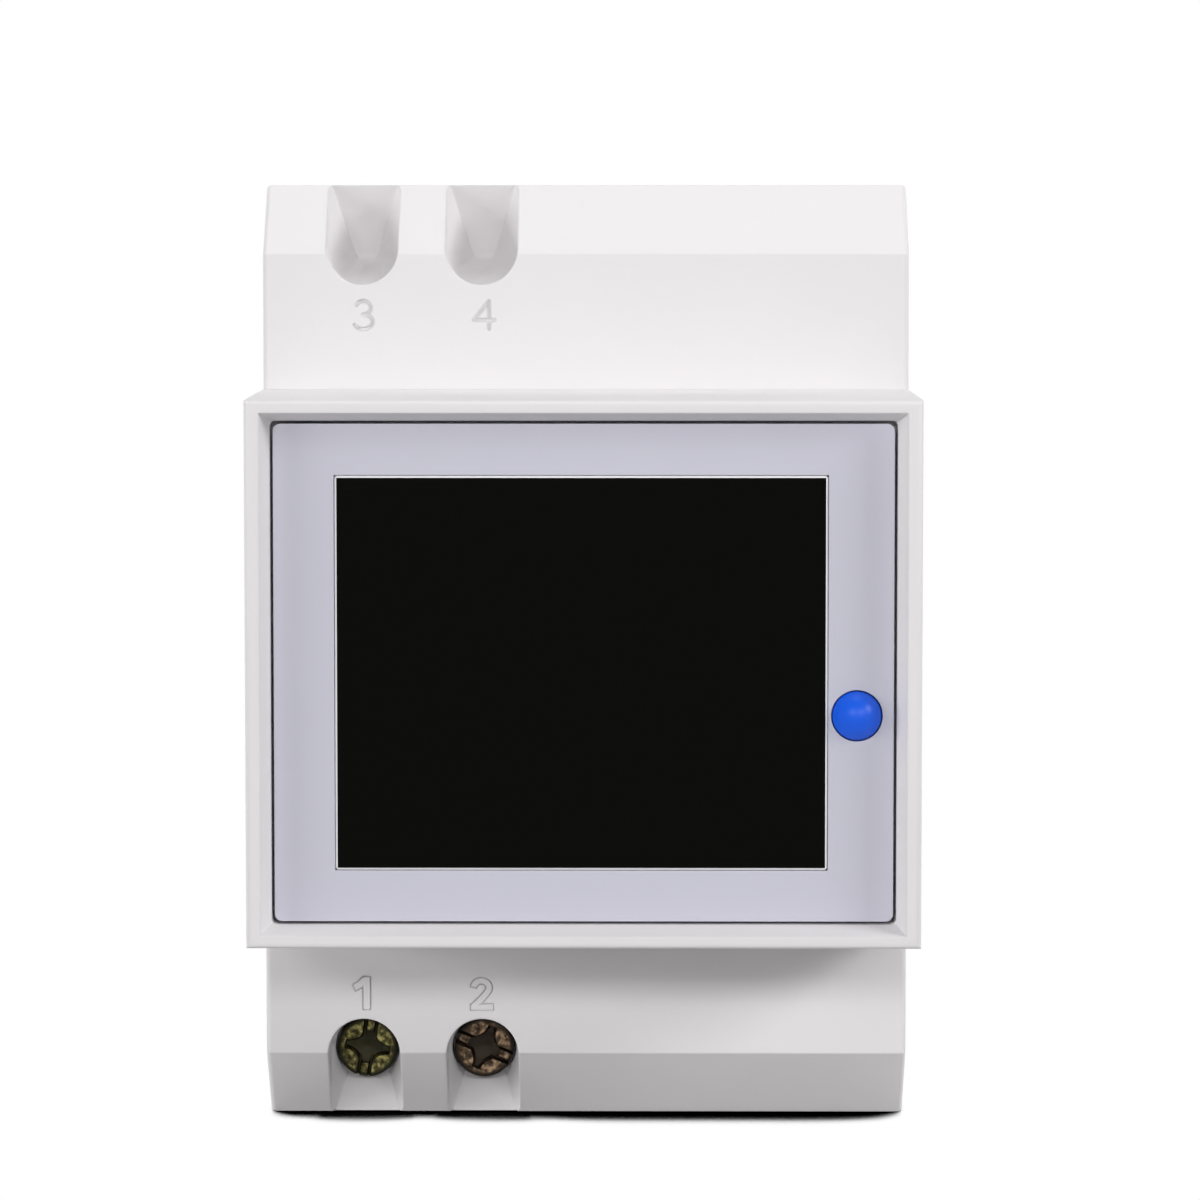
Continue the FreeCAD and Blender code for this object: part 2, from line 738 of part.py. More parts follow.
def clip_spring():
    """The latch's coil spring: one wire on half turns between the boss and the window's end."""
    low_z = boss_z + clip_boss_height + coil_wire
    high_z = window_top_z - coil_wire
    middle_y = (clip_y + clip_back_y) / 2
    halves = 2 * coil_turns
    climb = (high_z - low_z) / (2 * math.pi * coil_turns)

    def point(half):
        angle = half * math.pi
        return Vector(coil_radius * math.cos(angle), middle_y + coil_radius * math.sin(angle),
                      low_z + climb * angle)

    def heading(half):
        angle = half * math.pi
        return Vector(-coil_radius * math.sin(angle), coil_radius * math.cos(angle), climb).normalize()

    turns = []
    for n in range(halves):
        turns += biarc(point(n), heading(n), point(n + 1), heading(n + 1))
    path = Part.Wire(turns)
    outward = Vector(1, 0, 0)
    sideways = heading(0).cross(outward)
    corners = []
    for n in range(coil_sides):
        around = 2 * math.pi * n / coil_sides
        corners.append(point(0) + outward * coil_wire * math.cos(around)
                       + sideways * coil_wire * math.sin(around))
    ring = Part.makePolygon(corners + corners[:1])
    coil = path.makePipeShell([ring], True, False)
    gap = (high_z - low_z) / coil_turns - 2 * coil_wire
    print("coil gap", round(gap, 3), "volume", round(coil.Volume, 3), "section times length",
          round(Part.Face(ring).Area * path.Length, 3))
    return coil


def on_power_board(x, z, width, height, depth):
    """A block that stands on the back of the power board."""
    return centred(x, z, width, height, (power_board_back_y, power_board_back_y + depth))


def transformer_core():
    """Two E-shaped halves seen as one frame round the winding, with a middle leg."""
    frame = on_power_board(transformer_x, transformer_z, transformer_width, transformer_height,
                           transformer_depth)
    middle = transformer_height - 2 * transformer_leg
    room = centred(transformer_x, transformer_z, transformer_width - 2 * transformer_leg, middle,
                   (power_board_back_y, power_board_back_y + transformer_depth))
    return frame.cut(room)


def transformer_winding():
    """The bobbin with its winding, standing in the core's room."""
    width = transformer_width - 2 * transformer_leg - 2 * winding_gap
    height = transformer_height - 2 * transformer_leg - 2 * winding_gap
    return on_power_board(transformer_x, transformer_z, width, height, transformer_depth - winding_gap)


def film_capacitor():
    """A boxed film capacitor with rounded upright edges."""
    box = on_power_board(film_x, film_z, film_width, film_height, film_depth)
    return with_round_corners(box, film_round)


def electrolytic_capacitors():
    """Two round cans side by side."""
    top_y = power_board_back_y + electrolytic_depth
    return [rod(electrolytic_radius, electrolytic_x, electrolytic_z - n * electrolytic_pitch,
                (power_board_back_y, top_y)) for n in range(2)]


def varistor():
    """A coated disc on two leads, its axis along Z."""
    middle_y = power_board_back_y + varistor_lead + varistor_radius
    start = Vector(varistor_x, middle_y, varistor_z - varistor_thickness / 2)
    disc = Part.makeCylinder(varistor_radius, varistor_thickness, start, Vector(0, 0, 1))
    leads = [rod(lead_radius, varistor_x + sx * varistor_lead_pitch / 2, varistor_z,
                 (power_board_back_y, middle_y)) for sx in (-1, 1)]
    return united([disc] + leads)


def fuse_resistor():
    """A round fusible resistor lying on the board, its axis along X."""
    start = Vector(fuse_x - fuse_length / 2, power_board_back_y + fuse_radius, fuse_z)
    return Part.makeCylinder(fuse_radius, fuse_length, start, Vector(1, 0, 0))


def metering_chip():
    """The measuring chip with its two rows of legs."""
    body = on_power_board(chip_x, chip_z, chip_width, chip_height, chip_thickness)
    legs = []
    for side in (-1, 1):
        for n in range(chip_pins):
            z = chip_z + (n - (chip_pins - 1) / 2) * chip_pin_pitch
            x = chip_x + side * (chip_width / 2 + chip_pin_reach / 2)
            legs.append(on_power_board(x, z, chip_pin_reach, chip_pin_width, chip_pin_height))
    return united([body] + legs)


def microcontroller():
    """The flat controller chip on the front of the power board."""
    return centred(controller_x, controller_z, controller_size, controller_size,
                   (power_board_y - controller_thickness, power_board_y))


def crystal():
    """The timing crystal's low oval can."""
    body = on_power_board(crystal_x, crystal_z, crystal_width, crystal_height, crystal_thickness)
    return with_round_corners(body, crystal_round)


def board_header():
    """The pin header that joins the two boards."""
    return centred(0, header_z, header_width, header_height, (display_board_back_y, power_board_y))


def sense_pins():
    """Pins from the power board to the two ends of the shunt and to the neutral bar."""
    reach = shunt_length / 2 + sense_pin_inset
    places = [(terminal_x, -reach), (terminal_x, reach), (terminal_x + terminal_pitch, 0.0)]
    return [rod(sense_pin_radius, x, z, (power_board_back_y, bar_y)) for x, z in places]


def save_terminals():
    """The screws, cages and bars, which follow the terminals' places."""
    for number, (x, side) in terminals.items():
        save("terminal_screw_%d" % number, terminal_screw(x, side, slot_angles[number]))
        save("terminal_cage_%d" % number, terminal_cage(x, side))
    bar_end = inner_z - bar_end_gap
    save("line_bar_lower", bar(terminal_x, -bar_end, -shunt_length / 2))
    save("line_bar_upper", bar(terminal_x, shunt_length / 2, bar_end))
    save("neutral_bar", bar(terminal_x + terminal_pitch, -bar_end, bar_end))
    save("shunt_strip", shunt_strip())
    save("push_in_springs", *[push_in_spring(x, side) for x, side in blind_terminals.values()])


def save_boards():
    """The two boards with their screws and everything soldered on them."""
    front_board_width = 2 * (inner_x - board_gap)
    front_board_height = panel_height - board_gap
    save("display_board", screwed_board(front_board_width, front_board_height, display_board_y,
                                        panel_posts()))
    save("display_screws", *board_screws(panel_posts(), display_board_back_y,
                                         display_board_y - board_screw_sunk + board_screw_tip_gap))
    power_width = 2 * (inner_x - power_board_edge)
    power_height = 2 * (well_low_z - power_board_edge)
    save("power_board", screwed_board(power_width, power_height, power_board_y, shoulder_posts()))
    save("board_screws", *board_screws(shoulder_posts(), power_board_back_y,
                                       shoulder_y + wall + board_screw_tip_gap))
    save("tact_switch", tact_switch())
    save("board_header", board_header())
    save("sense_pins", *sense_pins())
    save("transformer_core", transformer_core())
    save("transformer_winding", transformer_winding())
    save("film_capacitor", film_capacitor())
    save("electrolytic_capacitors", *electrolytic_capacitors())
    save("varistor", varistor())
    save("fuse_resistor", fuse_resistor())
    save("metering_chip", metering_chip())
    save("microcontroller", microcontroller())
    save("crystal", crystal())


def save_front():
    """The panel, window, display stack and button."""
    save("face_panel", face_panel())
    save("window_lens", window_lens())
    save("lcd_glass", centred(window_offset, 0, display_width, display_height, (panel_back_y, glass_back_y)))
    save("lcd_backlight", centred(window_offset, 0, display_width, display_height,
                                  (glass_back_y, backlight_back_y)))
    save("lcd_frame", lcd_frame())
    save("button_cap", button_cap())
    save("switch_plunger", switch_plunger())


os.makedirs("parts", exist_ok=True)
save("front_cover", front_cover())
save("base_housing", base_housing())
save("din_clip", din_clip())
save("clip_spring", clip_spring())
save_terminals()
save_boards()
save_front()
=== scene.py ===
import math

import bmesh
import bpy
import numpy as np
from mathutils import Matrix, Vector


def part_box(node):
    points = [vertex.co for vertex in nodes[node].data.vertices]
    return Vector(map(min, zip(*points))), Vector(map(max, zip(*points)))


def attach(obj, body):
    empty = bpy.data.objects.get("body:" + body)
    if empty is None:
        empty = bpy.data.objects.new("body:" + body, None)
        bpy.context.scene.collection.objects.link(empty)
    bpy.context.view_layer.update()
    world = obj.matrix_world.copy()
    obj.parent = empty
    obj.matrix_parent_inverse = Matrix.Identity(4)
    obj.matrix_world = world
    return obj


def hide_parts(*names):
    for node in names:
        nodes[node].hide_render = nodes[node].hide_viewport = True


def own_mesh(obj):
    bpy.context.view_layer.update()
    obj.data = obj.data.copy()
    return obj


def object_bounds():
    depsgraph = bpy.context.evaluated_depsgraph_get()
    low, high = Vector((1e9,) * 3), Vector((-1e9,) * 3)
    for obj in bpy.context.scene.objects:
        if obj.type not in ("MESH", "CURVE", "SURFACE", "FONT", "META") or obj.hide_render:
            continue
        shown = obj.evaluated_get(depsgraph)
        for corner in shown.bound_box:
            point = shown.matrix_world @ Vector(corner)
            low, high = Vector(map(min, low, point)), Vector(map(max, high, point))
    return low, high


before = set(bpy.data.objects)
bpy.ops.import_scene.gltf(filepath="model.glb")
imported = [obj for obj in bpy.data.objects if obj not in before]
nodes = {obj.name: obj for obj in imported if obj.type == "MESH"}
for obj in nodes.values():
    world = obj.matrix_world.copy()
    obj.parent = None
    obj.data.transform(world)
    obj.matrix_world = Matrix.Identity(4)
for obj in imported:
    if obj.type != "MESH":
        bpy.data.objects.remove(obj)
cad_bounds = [list(corner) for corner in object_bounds()]
mm = 0.001


# Studio: a plain pale floor under the meter's lower end, two soft boxes in front, one low on the
# left, a brighter key high on the right, one overhead, two behind, and a white sky that only the
# camera and reflections see. The camera looks slightly down on the front.
def operator(kind, swapped=False):
    """A method that adds one Math node for an operator, with its two values swapped or not."""
    def method(self, *other):
        values = (*other, self) if swapped else (self, *other)
        return self.paint.node("Math", {"operation": kind}, dict(enumerate(values)))
    return method


class Flow:
    """A shader socket that takes part in sums: each operator adds one Math node."""

    def __init__(self, paint, socket):
        self.paint = paint
        self.socket = socket

    __add__, __radd__ = operator("ADD"), operator("ADD", swapped=True)
    __sub__, __rsub__ = operator("SUBTRACT"), operator("SUBTRACT", swapped=True)
    __mul__, __rmul__ = operator("MULTIPLY"), operator("MULTIPLY", swapped=True)
    __gt__, __lt__ = operator("GREATER_THAN"), operator("LESS_THAN")
    __abs__ = operator("ABSOLUTE")

    def step(self, low, high, rise="SMOOTHSTEP"):
        """0 below low, 1 above high and a smooth or linear rise between."""
        return self.paint.node("MapRange", {"interpolation_type": rise},
                               {"Value": self, "From Min": low, "From Max": high})


class Paint:
    """A node tree of one material or of the world, with one method that adds any node."""

    def __init__(self, owner):
        owner.use_nodes = True
        self.owner = owner
        self.tree = owner.node_tree
        self.tree.nodes.clear()

    def node(self, kind, settings=None, sockets=None, out=0):
        """Adds a node, sets it up, links or sets its sockets and returns one of its outputs."""
        made = self.tree.nodes.new("ShaderNode" + kind)
        for name, value in (settings or {}).items():
            setattr(made, name, value)
        for name, value in (sockets or {}).items():
            if isinstance(value, Flow):
                self.tree.links.new(value.socket, made.inputs[name])
            elif isinstance(value, tuple) and made.inputs[name].type == "RGBA":
                made.inputs[name].default_value = (*value, 1.0)
            else:
                made.inputs[name].default_value = value
        return Flow(self, made.outputs[out]) if made.outputs else None

    def place(self):
        return self.node("TexCoord", out="Object")

    def along(self, axis):
        """The object coordinate along one axis, in metres."""
        return self.node("SeparateXYZ", {}, {"Vector": self.place()}, out=axis)

    def within(self, axis, low, high):
        """1 where the coordinate along an axis is between two values, else 0."""
        along = self.along(axis)
        return (along > low) * (along < high)

    def noise(self, size, detail=3.0, stretch=None):
        """Soft random cloud from 0 to 1 with features about size millimetres wide. A stretch of
        0.1 along an axis draws them out to ten times that."""
        place = self.place()
        if stretch:
            place = self.node("Mapping", {}, {"Vector": place, "Scale": stretch})
        return self.node("TexNoise", {}, {"Vector": place, "Scale": 1 / (size * mm),
                                          "Detail": detail})

    def ray(self, *kinds):
        """1 on light rays of these kinds."""
        return sum(self.node("LightPath", out="Is %s Ray" % kind) for kind in kinds)

    def mix(self, share, first, second):
        """One colour or the other by a share from 0 to 1."""
        return self.node("Mix", {"data_type": "RGBA"}, {0: share, 6: first, 7: second}, out=2)

    def bump(self, height, depth, **sockets):
        """Relief of a depth in millimetres."""
        return self.node("Bump", {}, {"Height": height, "Distance": depth * mm, **sockets})

    def shader(self, **values):
        """Ends the material in one Principled shader. Words of a socket's name are joined by _."""
        sockets = {name.replace("_", " "): value for name, value in values.items()}
        made = self.node("BsdfPrincipled", {}, sockets)
        self.node("OutputMaterial", {}, {"Surface": made})
        return self.owner


def new_paint(name):
    """The paint of a new material."""
    return Paint(bpy.data.materials.new(name))


def linked(name, data):
    """A new object in the scene."""
    made = bpy.data.objects.new(name, data)
    bpy.context.scene.collection.objects.link(made)
    return made


camera_place = (0.003738, -0.42069, 0.03034)
turned_down, turned_left = 0.0672, 0.0067
camera_data = bpy.data.cameras.new("camera")
camera_data.lens = 136.41
camera_data.sensor_width = 36.0
camera = linked("camera", camera_data)
camera.location = camera_place
camera.rotation_euler = (math.pi / 2 - turned_down, 0.0, turned_left)
bpy.context.scene.camera = camera
bpy.context.scene.view_settings.view_transform = "Standard"


def soft_box(name, azimuth, elevation, distance, width, height, power, mirrored=True):
    """An area lamp at angles in degrees round the meter's middle, aimed at it. Azimuth 0 is in
    front. One that isn't mirrored lights the meter but leaves no highlight."""
    aim = Vector((0.0, -0.03, 0.0))
    azimuth, elevation = math.radians(azimuth), math.radians(elevation)
    away = Vector((math.sin(azimuth) * math.cos(elevation),
                   -math.cos(azimuth) * math.cos(elevation), math.sin(elevation)))
    data = bpy.data.lights.new(name, "AREA")
    data.shape = "RECTANGLE"
    data.size = width
    data.size_y = height
    data.energy = power
    lamp = linked(name, data)
    lamp.location = aim + away * distance
    lamp.rotation_euler = (-away).to_track_quat("-Z", "Y").to_euler()
    lamp.visible_glossy = mirrored


for side, along in (("right", 1), ("left", -1)):
    soft_box("box_front_" + side, along * 18, 16, 1.2, 0.5, 0.14, 2.5)
    soft_box("box_rear_" + side, along * 142, 12, 1.1, 0.6, 0.3, 4.8, mirrored=False)
soft_box("box_left", -66, 8, 1.1, 0.7, 0.2, 5.4, mirrored=False)
soft_box("box_key", 63, 26, 1.0, 0.4, 0.3, 4.7)
soft_box("box_above", 0, 90, 0.7, 0.4, 0.3, 1.7)

world = bpy.data.worlds.new("studio")
bpy.context.scene.world = world
full_white = (1.0, 1.0, 1.0)
sky = Paint(world)
strength = sky.ray("Camera", "Glossy", "Transmission").step(0.0, 1.0, "LINEAR")
sky.node("OutputWorld", {},
         {"Surface": sky.node("Background", {}, {"Color": full_white, "Strength": strength})})

floor_mesh = bpy.data.meshes.new("floor")
floor_z, reach = cad_bounds[0][2], 3.0
floor_corners = [(x * reach, y * reach, floor_z) for x, y in ((-1, -1), (1, -1), (1, 1), (-1, 1))]
floor_mesh.from_pydata(floor_corners, [], [(0, 1, 2, 3)])
linked("floor", floor_mesh)
# Seen, it glows white apart from a contact shadow under the meter. It lights as a matt grey.
ground = new_paint("floor")
seen = ground.ray("Camera", "Glossy")
open_share = ground.node("AmbientOcclusion", {"samples": 16}, {"Distance": 0.01}, out="AO")
side_x = cad_bounds[1][0]
beside = abs(ground.along("X")).step(side_x - 0.4 * mm, side_x + 0.4 * mm)
shine = open_share.step(0.36, 0.6) * (1 - beside) + beside
glow = ground.node("Emission", {}, {"Color": full_white, "Strength": shine})
matt = ground.node("BsdfDiffuse", {}, {"Color": (0.5, 0.5, 0.5)})
mixed = ground.node("MixShader", {}, {0: seen, 1: matt, 2: glow})
ground.node("OutputMaterial", {}, {"Surface": mixed})
floor_mesh.materials.append(ground.owner)


# Front cover: one white moulding in satin ABS with the shoulders, the raised block, the sloping
# bezel and the terminal notches. Its visible edges are rounded and two numbers are engraved in it.
sharp_degrees = 30


def piece(name, mesh, paint, *replaced, body="housing", slot=None):
    """Links a mesh, or several as one, as a piece that rides on a body and stands for CAD nodes.
    The slot argument is not used."""
    if isinstance(mesh, list):
        mesh = joined(name, mesh)
    made = linked(name, mesh)
    mesh.materials.append(paint)
    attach(made, body)
    if replaced:
        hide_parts(*replaced)
    return made


def new_mesh(name, made):
    """A bmesh written to a new mesh and freed."""
    mesh = bpy.data.meshes.new(name)
    made.to_mesh(mesh)
    made.free()
    return mesh


def dressed(node, name, width, paint, segments=2, only=None, **more):
    """The piece that stands for a node: its mesh with the loose triangles joined, flat facets made
    one face each, and the sharp edges rounded by a width in millimetres: all of them, or those
    whose two ends the test accepts."""
    made = bmesh.new()
    made.from_mesh(nodes[node].data)
    bmesh.ops.remove_doubles(made, verts=made.verts, dist=0.001 * mm)
    bmesh.ops.dissolve_limit(made, angle_limit=math.radians(1), verts=made.verts, edges=made.edges)
    sharp = [edge for edge in made.edges if edge.is_manifold
             and edge.calc_face_angle() > math.radians(sharp_degrees)
             and (only is None or all(only(corner.co) for corner in edge.verts))]
    bmesh.ops.bevel(made, geom=sharp, offset=width * mm, segments=segments, profile=0.5,
                    affect="EDGES", clamp_overlap=True)
    return piece(name, smooth_by_angle(new_mesh(name, made)), paint, node, **more)


def centre_of(node):
    """The middle of a node's box."""
    return [(low + high) / 2 for low, high in zip(*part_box(node))]


def smooth_by_angle(mesh, degrees=sharp_degrees):
    """Smooth shading, kept sharp where faces meet at more than an angle. A face that is wide for
    its outline is flat, with all that lie level beside it, up to the small faces of a rounding."""
    mesh.shade_smooth()
    mesh.set_sharp_from_angle(angle=math.radians(degrees))
    made = bmesh.new()
    made.from_mesh(mesh)
    flat = [face for face in made.faces
            if face.calc_area() > max(2 * mm ** 2, 0.45 * mm * face.calc_perimeter())]
    for face in flat:
        face.smooth = False
    while flat:
        face = flat.pop()
        for beside in {other for edge in face.edges for other in edge.link_faces if other.smooth}:
            if beside.normal.dot(face.normal) > 0.99998:
                beside.smooth = False
                flat.append(beside)
    made.to_mesh(mesh)
    made.free()
    return mesh


def skinned(name, rings, first_pole, last_pole, degrees=sharp_degrees):
    """A closed mesh over an array of rings (count, sides, 3): neighbouring rings are joined by
    four-sided faces, and each end is closed by a fan of triangles to its pole."""
    count, sides, _ = rings.shape
    points = np.concatenate([rings.reshape(-1, 3), [first_pole, last_pole]])
    here = np.arange(sides)
    after = (here + 1) % sides
    row = np.arange(count - 1)[:, None] * sides
    below = row + sides
    quads = np.stack([row + here, row + after, below + after, below + here], -1)
    last = (count - 1) * sides
    first_fan = np.stack([here, after, np.full(sides, count * sides)], -1)
    last_fan = np.stack([last + here, last + after, np.full(sides, count * sides + 1)], -1)
    faces = quads.reshape(-1, 4).tolist() + first_fan.tolist() + last_fan.tolist()
    made = bmesh.new()
    mesh = bpy.data.meshes.new(name)
    mesh.from_pydata(points.tolist(), [], faces)
    made.from_mesh(mesh)
    bmesh.ops.recalc_face_normals(made, faces=made.faces)
    made.to_mesh(mesh)
    made.free()
    return smooth_by_angle(mesh, degrees)


def joined(name, meshes):
    """Several meshes as one."""
    made = bmesh.new()
    for mesh in meshes:
        made.from_mesh(mesh)
    return new_mesh(name, made)


def full_circle(sides):
    """Evenly spaced angles all round."""
    return np.linspace(0, 2 * math.pi, sides, endpoint=False)


def heading(path):
    """The unit directions along a path."""
    ahead = np.gradient(path, axis=0)
    return ahead / np.linalg.norm(ahead, axis=1)[:, None]


def stroke(path, radius, flat=(0.0, 1.0, 0.0)):
    """A round bar along a path in the plane square to the flat direction, with half-round ends.
    Each ring stands square to the path; at the ends the rings shrink as radius times cosine while
    they step out by radius times sine."""
    path = np.asarray(path, float)
    ahead = heading(path)
    turn = np.linspace(0, math.pi / 2, 4, endpoint=False)[1:]
    start = path[0] - ahead[0] * radius * np.sin(turn[::-1, None])
    end = path[-1] + ahead[-1] * radius * np.sin(turn[:, None])
    centres = np.concatenate([start, path, end])
    ways = np.concatenate([np.repeat(ahead[:1], len(start), 0), ahead,
                           np.repeat(ahead[-1:], len(end), 0)])
    shrink = np.concatenate([np.cos(turn[::-1]), np.ones(len(path)), np.cos(turn)]) * radius
    across = np.cross(ways, flat)[:, None]
    around = full_circle(12)[None, :, None]
    shrink = shrink[:, None, None]
    rings = (centres[:, None] + across * (np.cos(around) * shrink)
             + np.array(flat) * (np.sin(around) * shrink))
    return skinned("stroke", rings, path[0] - ahead[0] * radius, path[-1] + ahead[-1] * radius)


def bow(x, z, radius_x, radius_z, start, end, count=20):
    """Points of an ellipse's arc between two angles in degrees."""
    angle = np.radians(np.linspace(start, end, count))
    return np.stack([x + radius_x * np.cos(angle), np.zeros(count),
                     z + radius_z * np.sin(angle)], -1)


def straight(*corners):
    """Evenly spaced points along each straight run from corner to corner."""
    corners = np.array([(x, 0.0, z) for x, z in corners])
    share = np.linspace(0, 1, 8)[:, None]
    return [a * (1 - share) + b * share for a, b in zip(corners[:-1], corners[1:])]


def engraved(made, cutter):
    """Cuts a closed mesh, self-crossing or not, out of the piece for good."""
    tool = linked("cutter", cutter)
    cut = made.modifiers.new("engraved", "BOOLEAN")
    cut.operation = "DIFFERENCE"
    cut.solver = "EXACT"
    cut.use_self = True
    cut.object = tool
    graph = bpy.context.evaluated_depsgraph_get()
    graph.update()
    mesh = bpy.data.meshes.new_from_object(made.evaluated_get(graph))
    made.modifiers.clear()
    made.data = mesh
    bpy.data.objects.remove(tool)


def shade(colour, factor):
    """A colour made lighter or darker, up to white."""
    return tuple(min(1.0, factor * part) for part in colour)


def moulded(name, colour, rough, grain=0.25, depth=0.004, sheen=0.5, lip=0.0):
    """Moulded plastic: a barely clouded colour, uneven gloss and a fine spark-eroded grain. A lip
    rounds the shading of sharp edges by that much."""
    paint = new_paint(name)
    cloud = paint.noise(6, 2.0)
    tone = paint.mix(cloud, shade(colour, 0.985), shade(colour, 1.012))
    fine = paint.noise(grain, 2.0)
    gloss = rough + 0.08 * (paint.noise(2.5) - 0.5) + 0.05 * (fine - 0.5)
    edge = {"Normal": paint.node("Bevel", {"samples": 8}, {"Radius": lip * mm})} if lip else {}
    return paint.shader(Base_Color=tone, Roughness=gloss, Specular_IOR_Level=sheen,
                        Normal=paint.bump(fine, depth, **edge))


shoulder_y = -40 * mm
end_z = cad_bounds[1][2]
stroke_radius = 0.15 * mm
stroke_sunk = 0.07 * mm
three_x, four_x, engraved_z = -18.58 * mm, -8.51 * mm, 28.59 * mm
three = [bow(-0.02, 0.6, 0.62, 0.58, 155, -90), bow(-0.04, -0.58, 0.8, 0.6, 90, -155)]
four = (straight((0.42, 1.15), (-0.86, -0.42), (0.86, -0.42))
        + straight((0.42, 1.15), (0.42, -1.15)))
notch_pair_x, notch_half_pitch, notch_reach = -13.75 * mm, 5 * mm, 3.1 * mm
notch_from_z = 30 * mm
chamfer_depth, chamfer_height = 5.0 * mm, 5.85 * mm


def on_a_notch_rim(corner):
    """Whether a corner lies on the front edge of a terminal notch: on the shoulder or its chamfer,
    inside the strip that the two notches of an end take up."""
    across = abs(abs(corner.x - notch_pair_x) - notch_half_pitch)
    on_shoulder = abs(corner.y - shoulder_y) < 0.01 * mm
    chamfer_z = end_z + (corner.y - shoulder_y - chamfer_depth) * (chamfer_height / chamfer_depth)
    on_chamfer = abs(abs(corner.z) - chamfer_z) < 0.02 * mm
    return across < notch_reach and abs(corner.z) > notch_from_z and (on_shoulder or on_chamfer)


white = (0.81, 0.79, 0.797)
white_plastic = moulded("white_plastic", white, 0.58, lip=0.22)
cover = dressed("front_cover", "front_cover_shell", 0.28, white_plastic, segments=3,
                only=on_a_notch_rim)
strokes = []
for x, paths in ((three_x, three), (four_x, four)):
    middle = np.array([x, shoulder_y + stroke_sunk, engraved_z])
    strokes += [stroke(middle + path * mm, stroke_radius) for path in paths]


def bent_strip(path, width, thickness, across):
    """A flat strip along a path: each ring is a rectangle, width along the across direction and
    thickness square to it and to the path."""
    path = np.asarray(path, float)
    ahead, across = heading(path), np.asarray(across, float)
    up = np.cross(ahead, across)
    signs = np.array([(-1, -1), (1, -1), (1, 1), (-1, 1)])
    rings = (path[:, None] + across * (signs[None, :, :1] * width / 2)
             + up[:, None] * (signs[None, :, 1:] * thickness / 2))
    return skinned("strip", rings, path[0], path[-1])


def number_bars(front, back, spread):
    """The bars of the two raised numbers, from one depth to another, grown all round by a spread.
    Each bar's front lies a hair behind the one before, so that no two faces coincide."""
    strips = []
    for step, (x, z, path, width) in enumerate(raised_bars):
        path = np.array(path, float)
        ahead = heading(path)
        path[0] -= ahead[0] * spread
        path[-1] += ahead[-1] * spread
        behind = front + 0.008 * mm * step
        middle = np.array([x, shoulder_y + (behind + back) / 2, z])
        strips.append(bent_strip(middle + path * mm, back - behind, (width + 2 * spread) * mm,
                                 (0, 1, 0)))
    return strips


one_x, one_z, two_x, two_z = -18.87 * mm, -28.55 * mm, -8.77 * mm, -28.62 * mm
stem = straight((0.37, -1.35), (0.37, 1.35))[0]
flag = [(0.2, 0, 1.12), (0.02, 0, 0.92), (-0.22, 0, 0.71), (-0.42, 0, 0.58), (-0.64, 0, 0.48)]
hook = np.concatenate([bow(-0.04, 0.54, 0.66, 0.58, 172, -25, 28),
                       [(0.35, 0, 0), (-0.05, 0, -0.45), (-0.5, 0, -0.86), (-0.7, 0, -1.08)]])
foot = straight((-0.9, -1.115), (0.92, -1.115))[0]
raised_bars = [(one_x, one_z, stem, 0.53), (one_x, one_z, flag, 0.5),
               (two_x, two_z, hook, 0.42), (two_x, two_z, foot, 0.42)]
groove, stand = 0.13 * mm, 0.06 * mm
engraved(cover, joined("engraving", strokes + number_bars(-groove, groove, 0.1)))
smooth_by_angle(cover.data)
raised = joined("raised_numbers", number_bars(-stand, groove + 0.05 * mm, 0.0))
piece("raised_numbers", smooth_by_angle(raised), moulded("number_plastic", white, 0.58, lip=0.04),
      slot="white_plastic")


# Face panel: a flat satin plate in pale lavender-grey plastic that lies in the bezel's pocket. It
# has a shallow pocket for the window, and a hole for the button.
dressed("face_panel", "panel_plate", 0.2,
        moulded("panel_plastic", (0.6, 0.595, 0.68), 0.5, grain=0.12, depth=0.003))


# Display window: near-black glossy acrylic, glued flush in the panel. Its bevelled edge is painted
# white all round, a painted highlight that shows as a fine pale line.
window_plastic = moulded("window_plastic", (0.0016, 0.0016, 0.001), 0.12, grain=1.5, depth=0.0004,
                         sheen=0.04)
# Painted highlight: the lens's bevel takes pure white paint, so it shows as a bright line.
edge_highlight = moulded("window_edge_highlight", (1.0, 1.0, 1.0), 0.35)
window = dressed("window_lens", "window_plate", 0.17, window_plastic, segments=1)
window.data.materials.append(edge_highlight)
for face in window.data.polygons:
    face.material_index = int(max(abs(part) for part in face.normal) < 0.9)


# Push button: a domed cap in glossy blue plastic that slides in the panel's hole. A flange behind
# the panel keeps it in, and its stem rests on the switch.
def rings_round(profile, around, x, z):
    """Rings round an axis along Y at x, z, from pairs of a radius and a depth: one pair for each
    ring, or for each ring and angle."""
    radius, depth = profile[..., 0], profile[..., 1]
    return np.stack([x + radius * np.cos(around), depth + 0 * around,
                     z + radius * np.sin(around)], -1)


def revolved(name, profile, x, z, sides=96, degrees=sharp_degrees, order=(0, 1, 2)):
    """A profile of (radius, depth) points turned round an axis along Y at x, z. The first and the
    last point lie on the axis. Another order of the coordinates lays the axis along X or Z."""
    profile = np.asarray(profile, float)
    around = full_circle(sides)
    rings = rings_round(profile[1:-1, None], around, x, z)
    ends = np.array([(x, profile[0, 1], z), (x, profile[-1, 1], z)])[:, order]
    return skinned(name, rings[..., order], *ends, degrees)


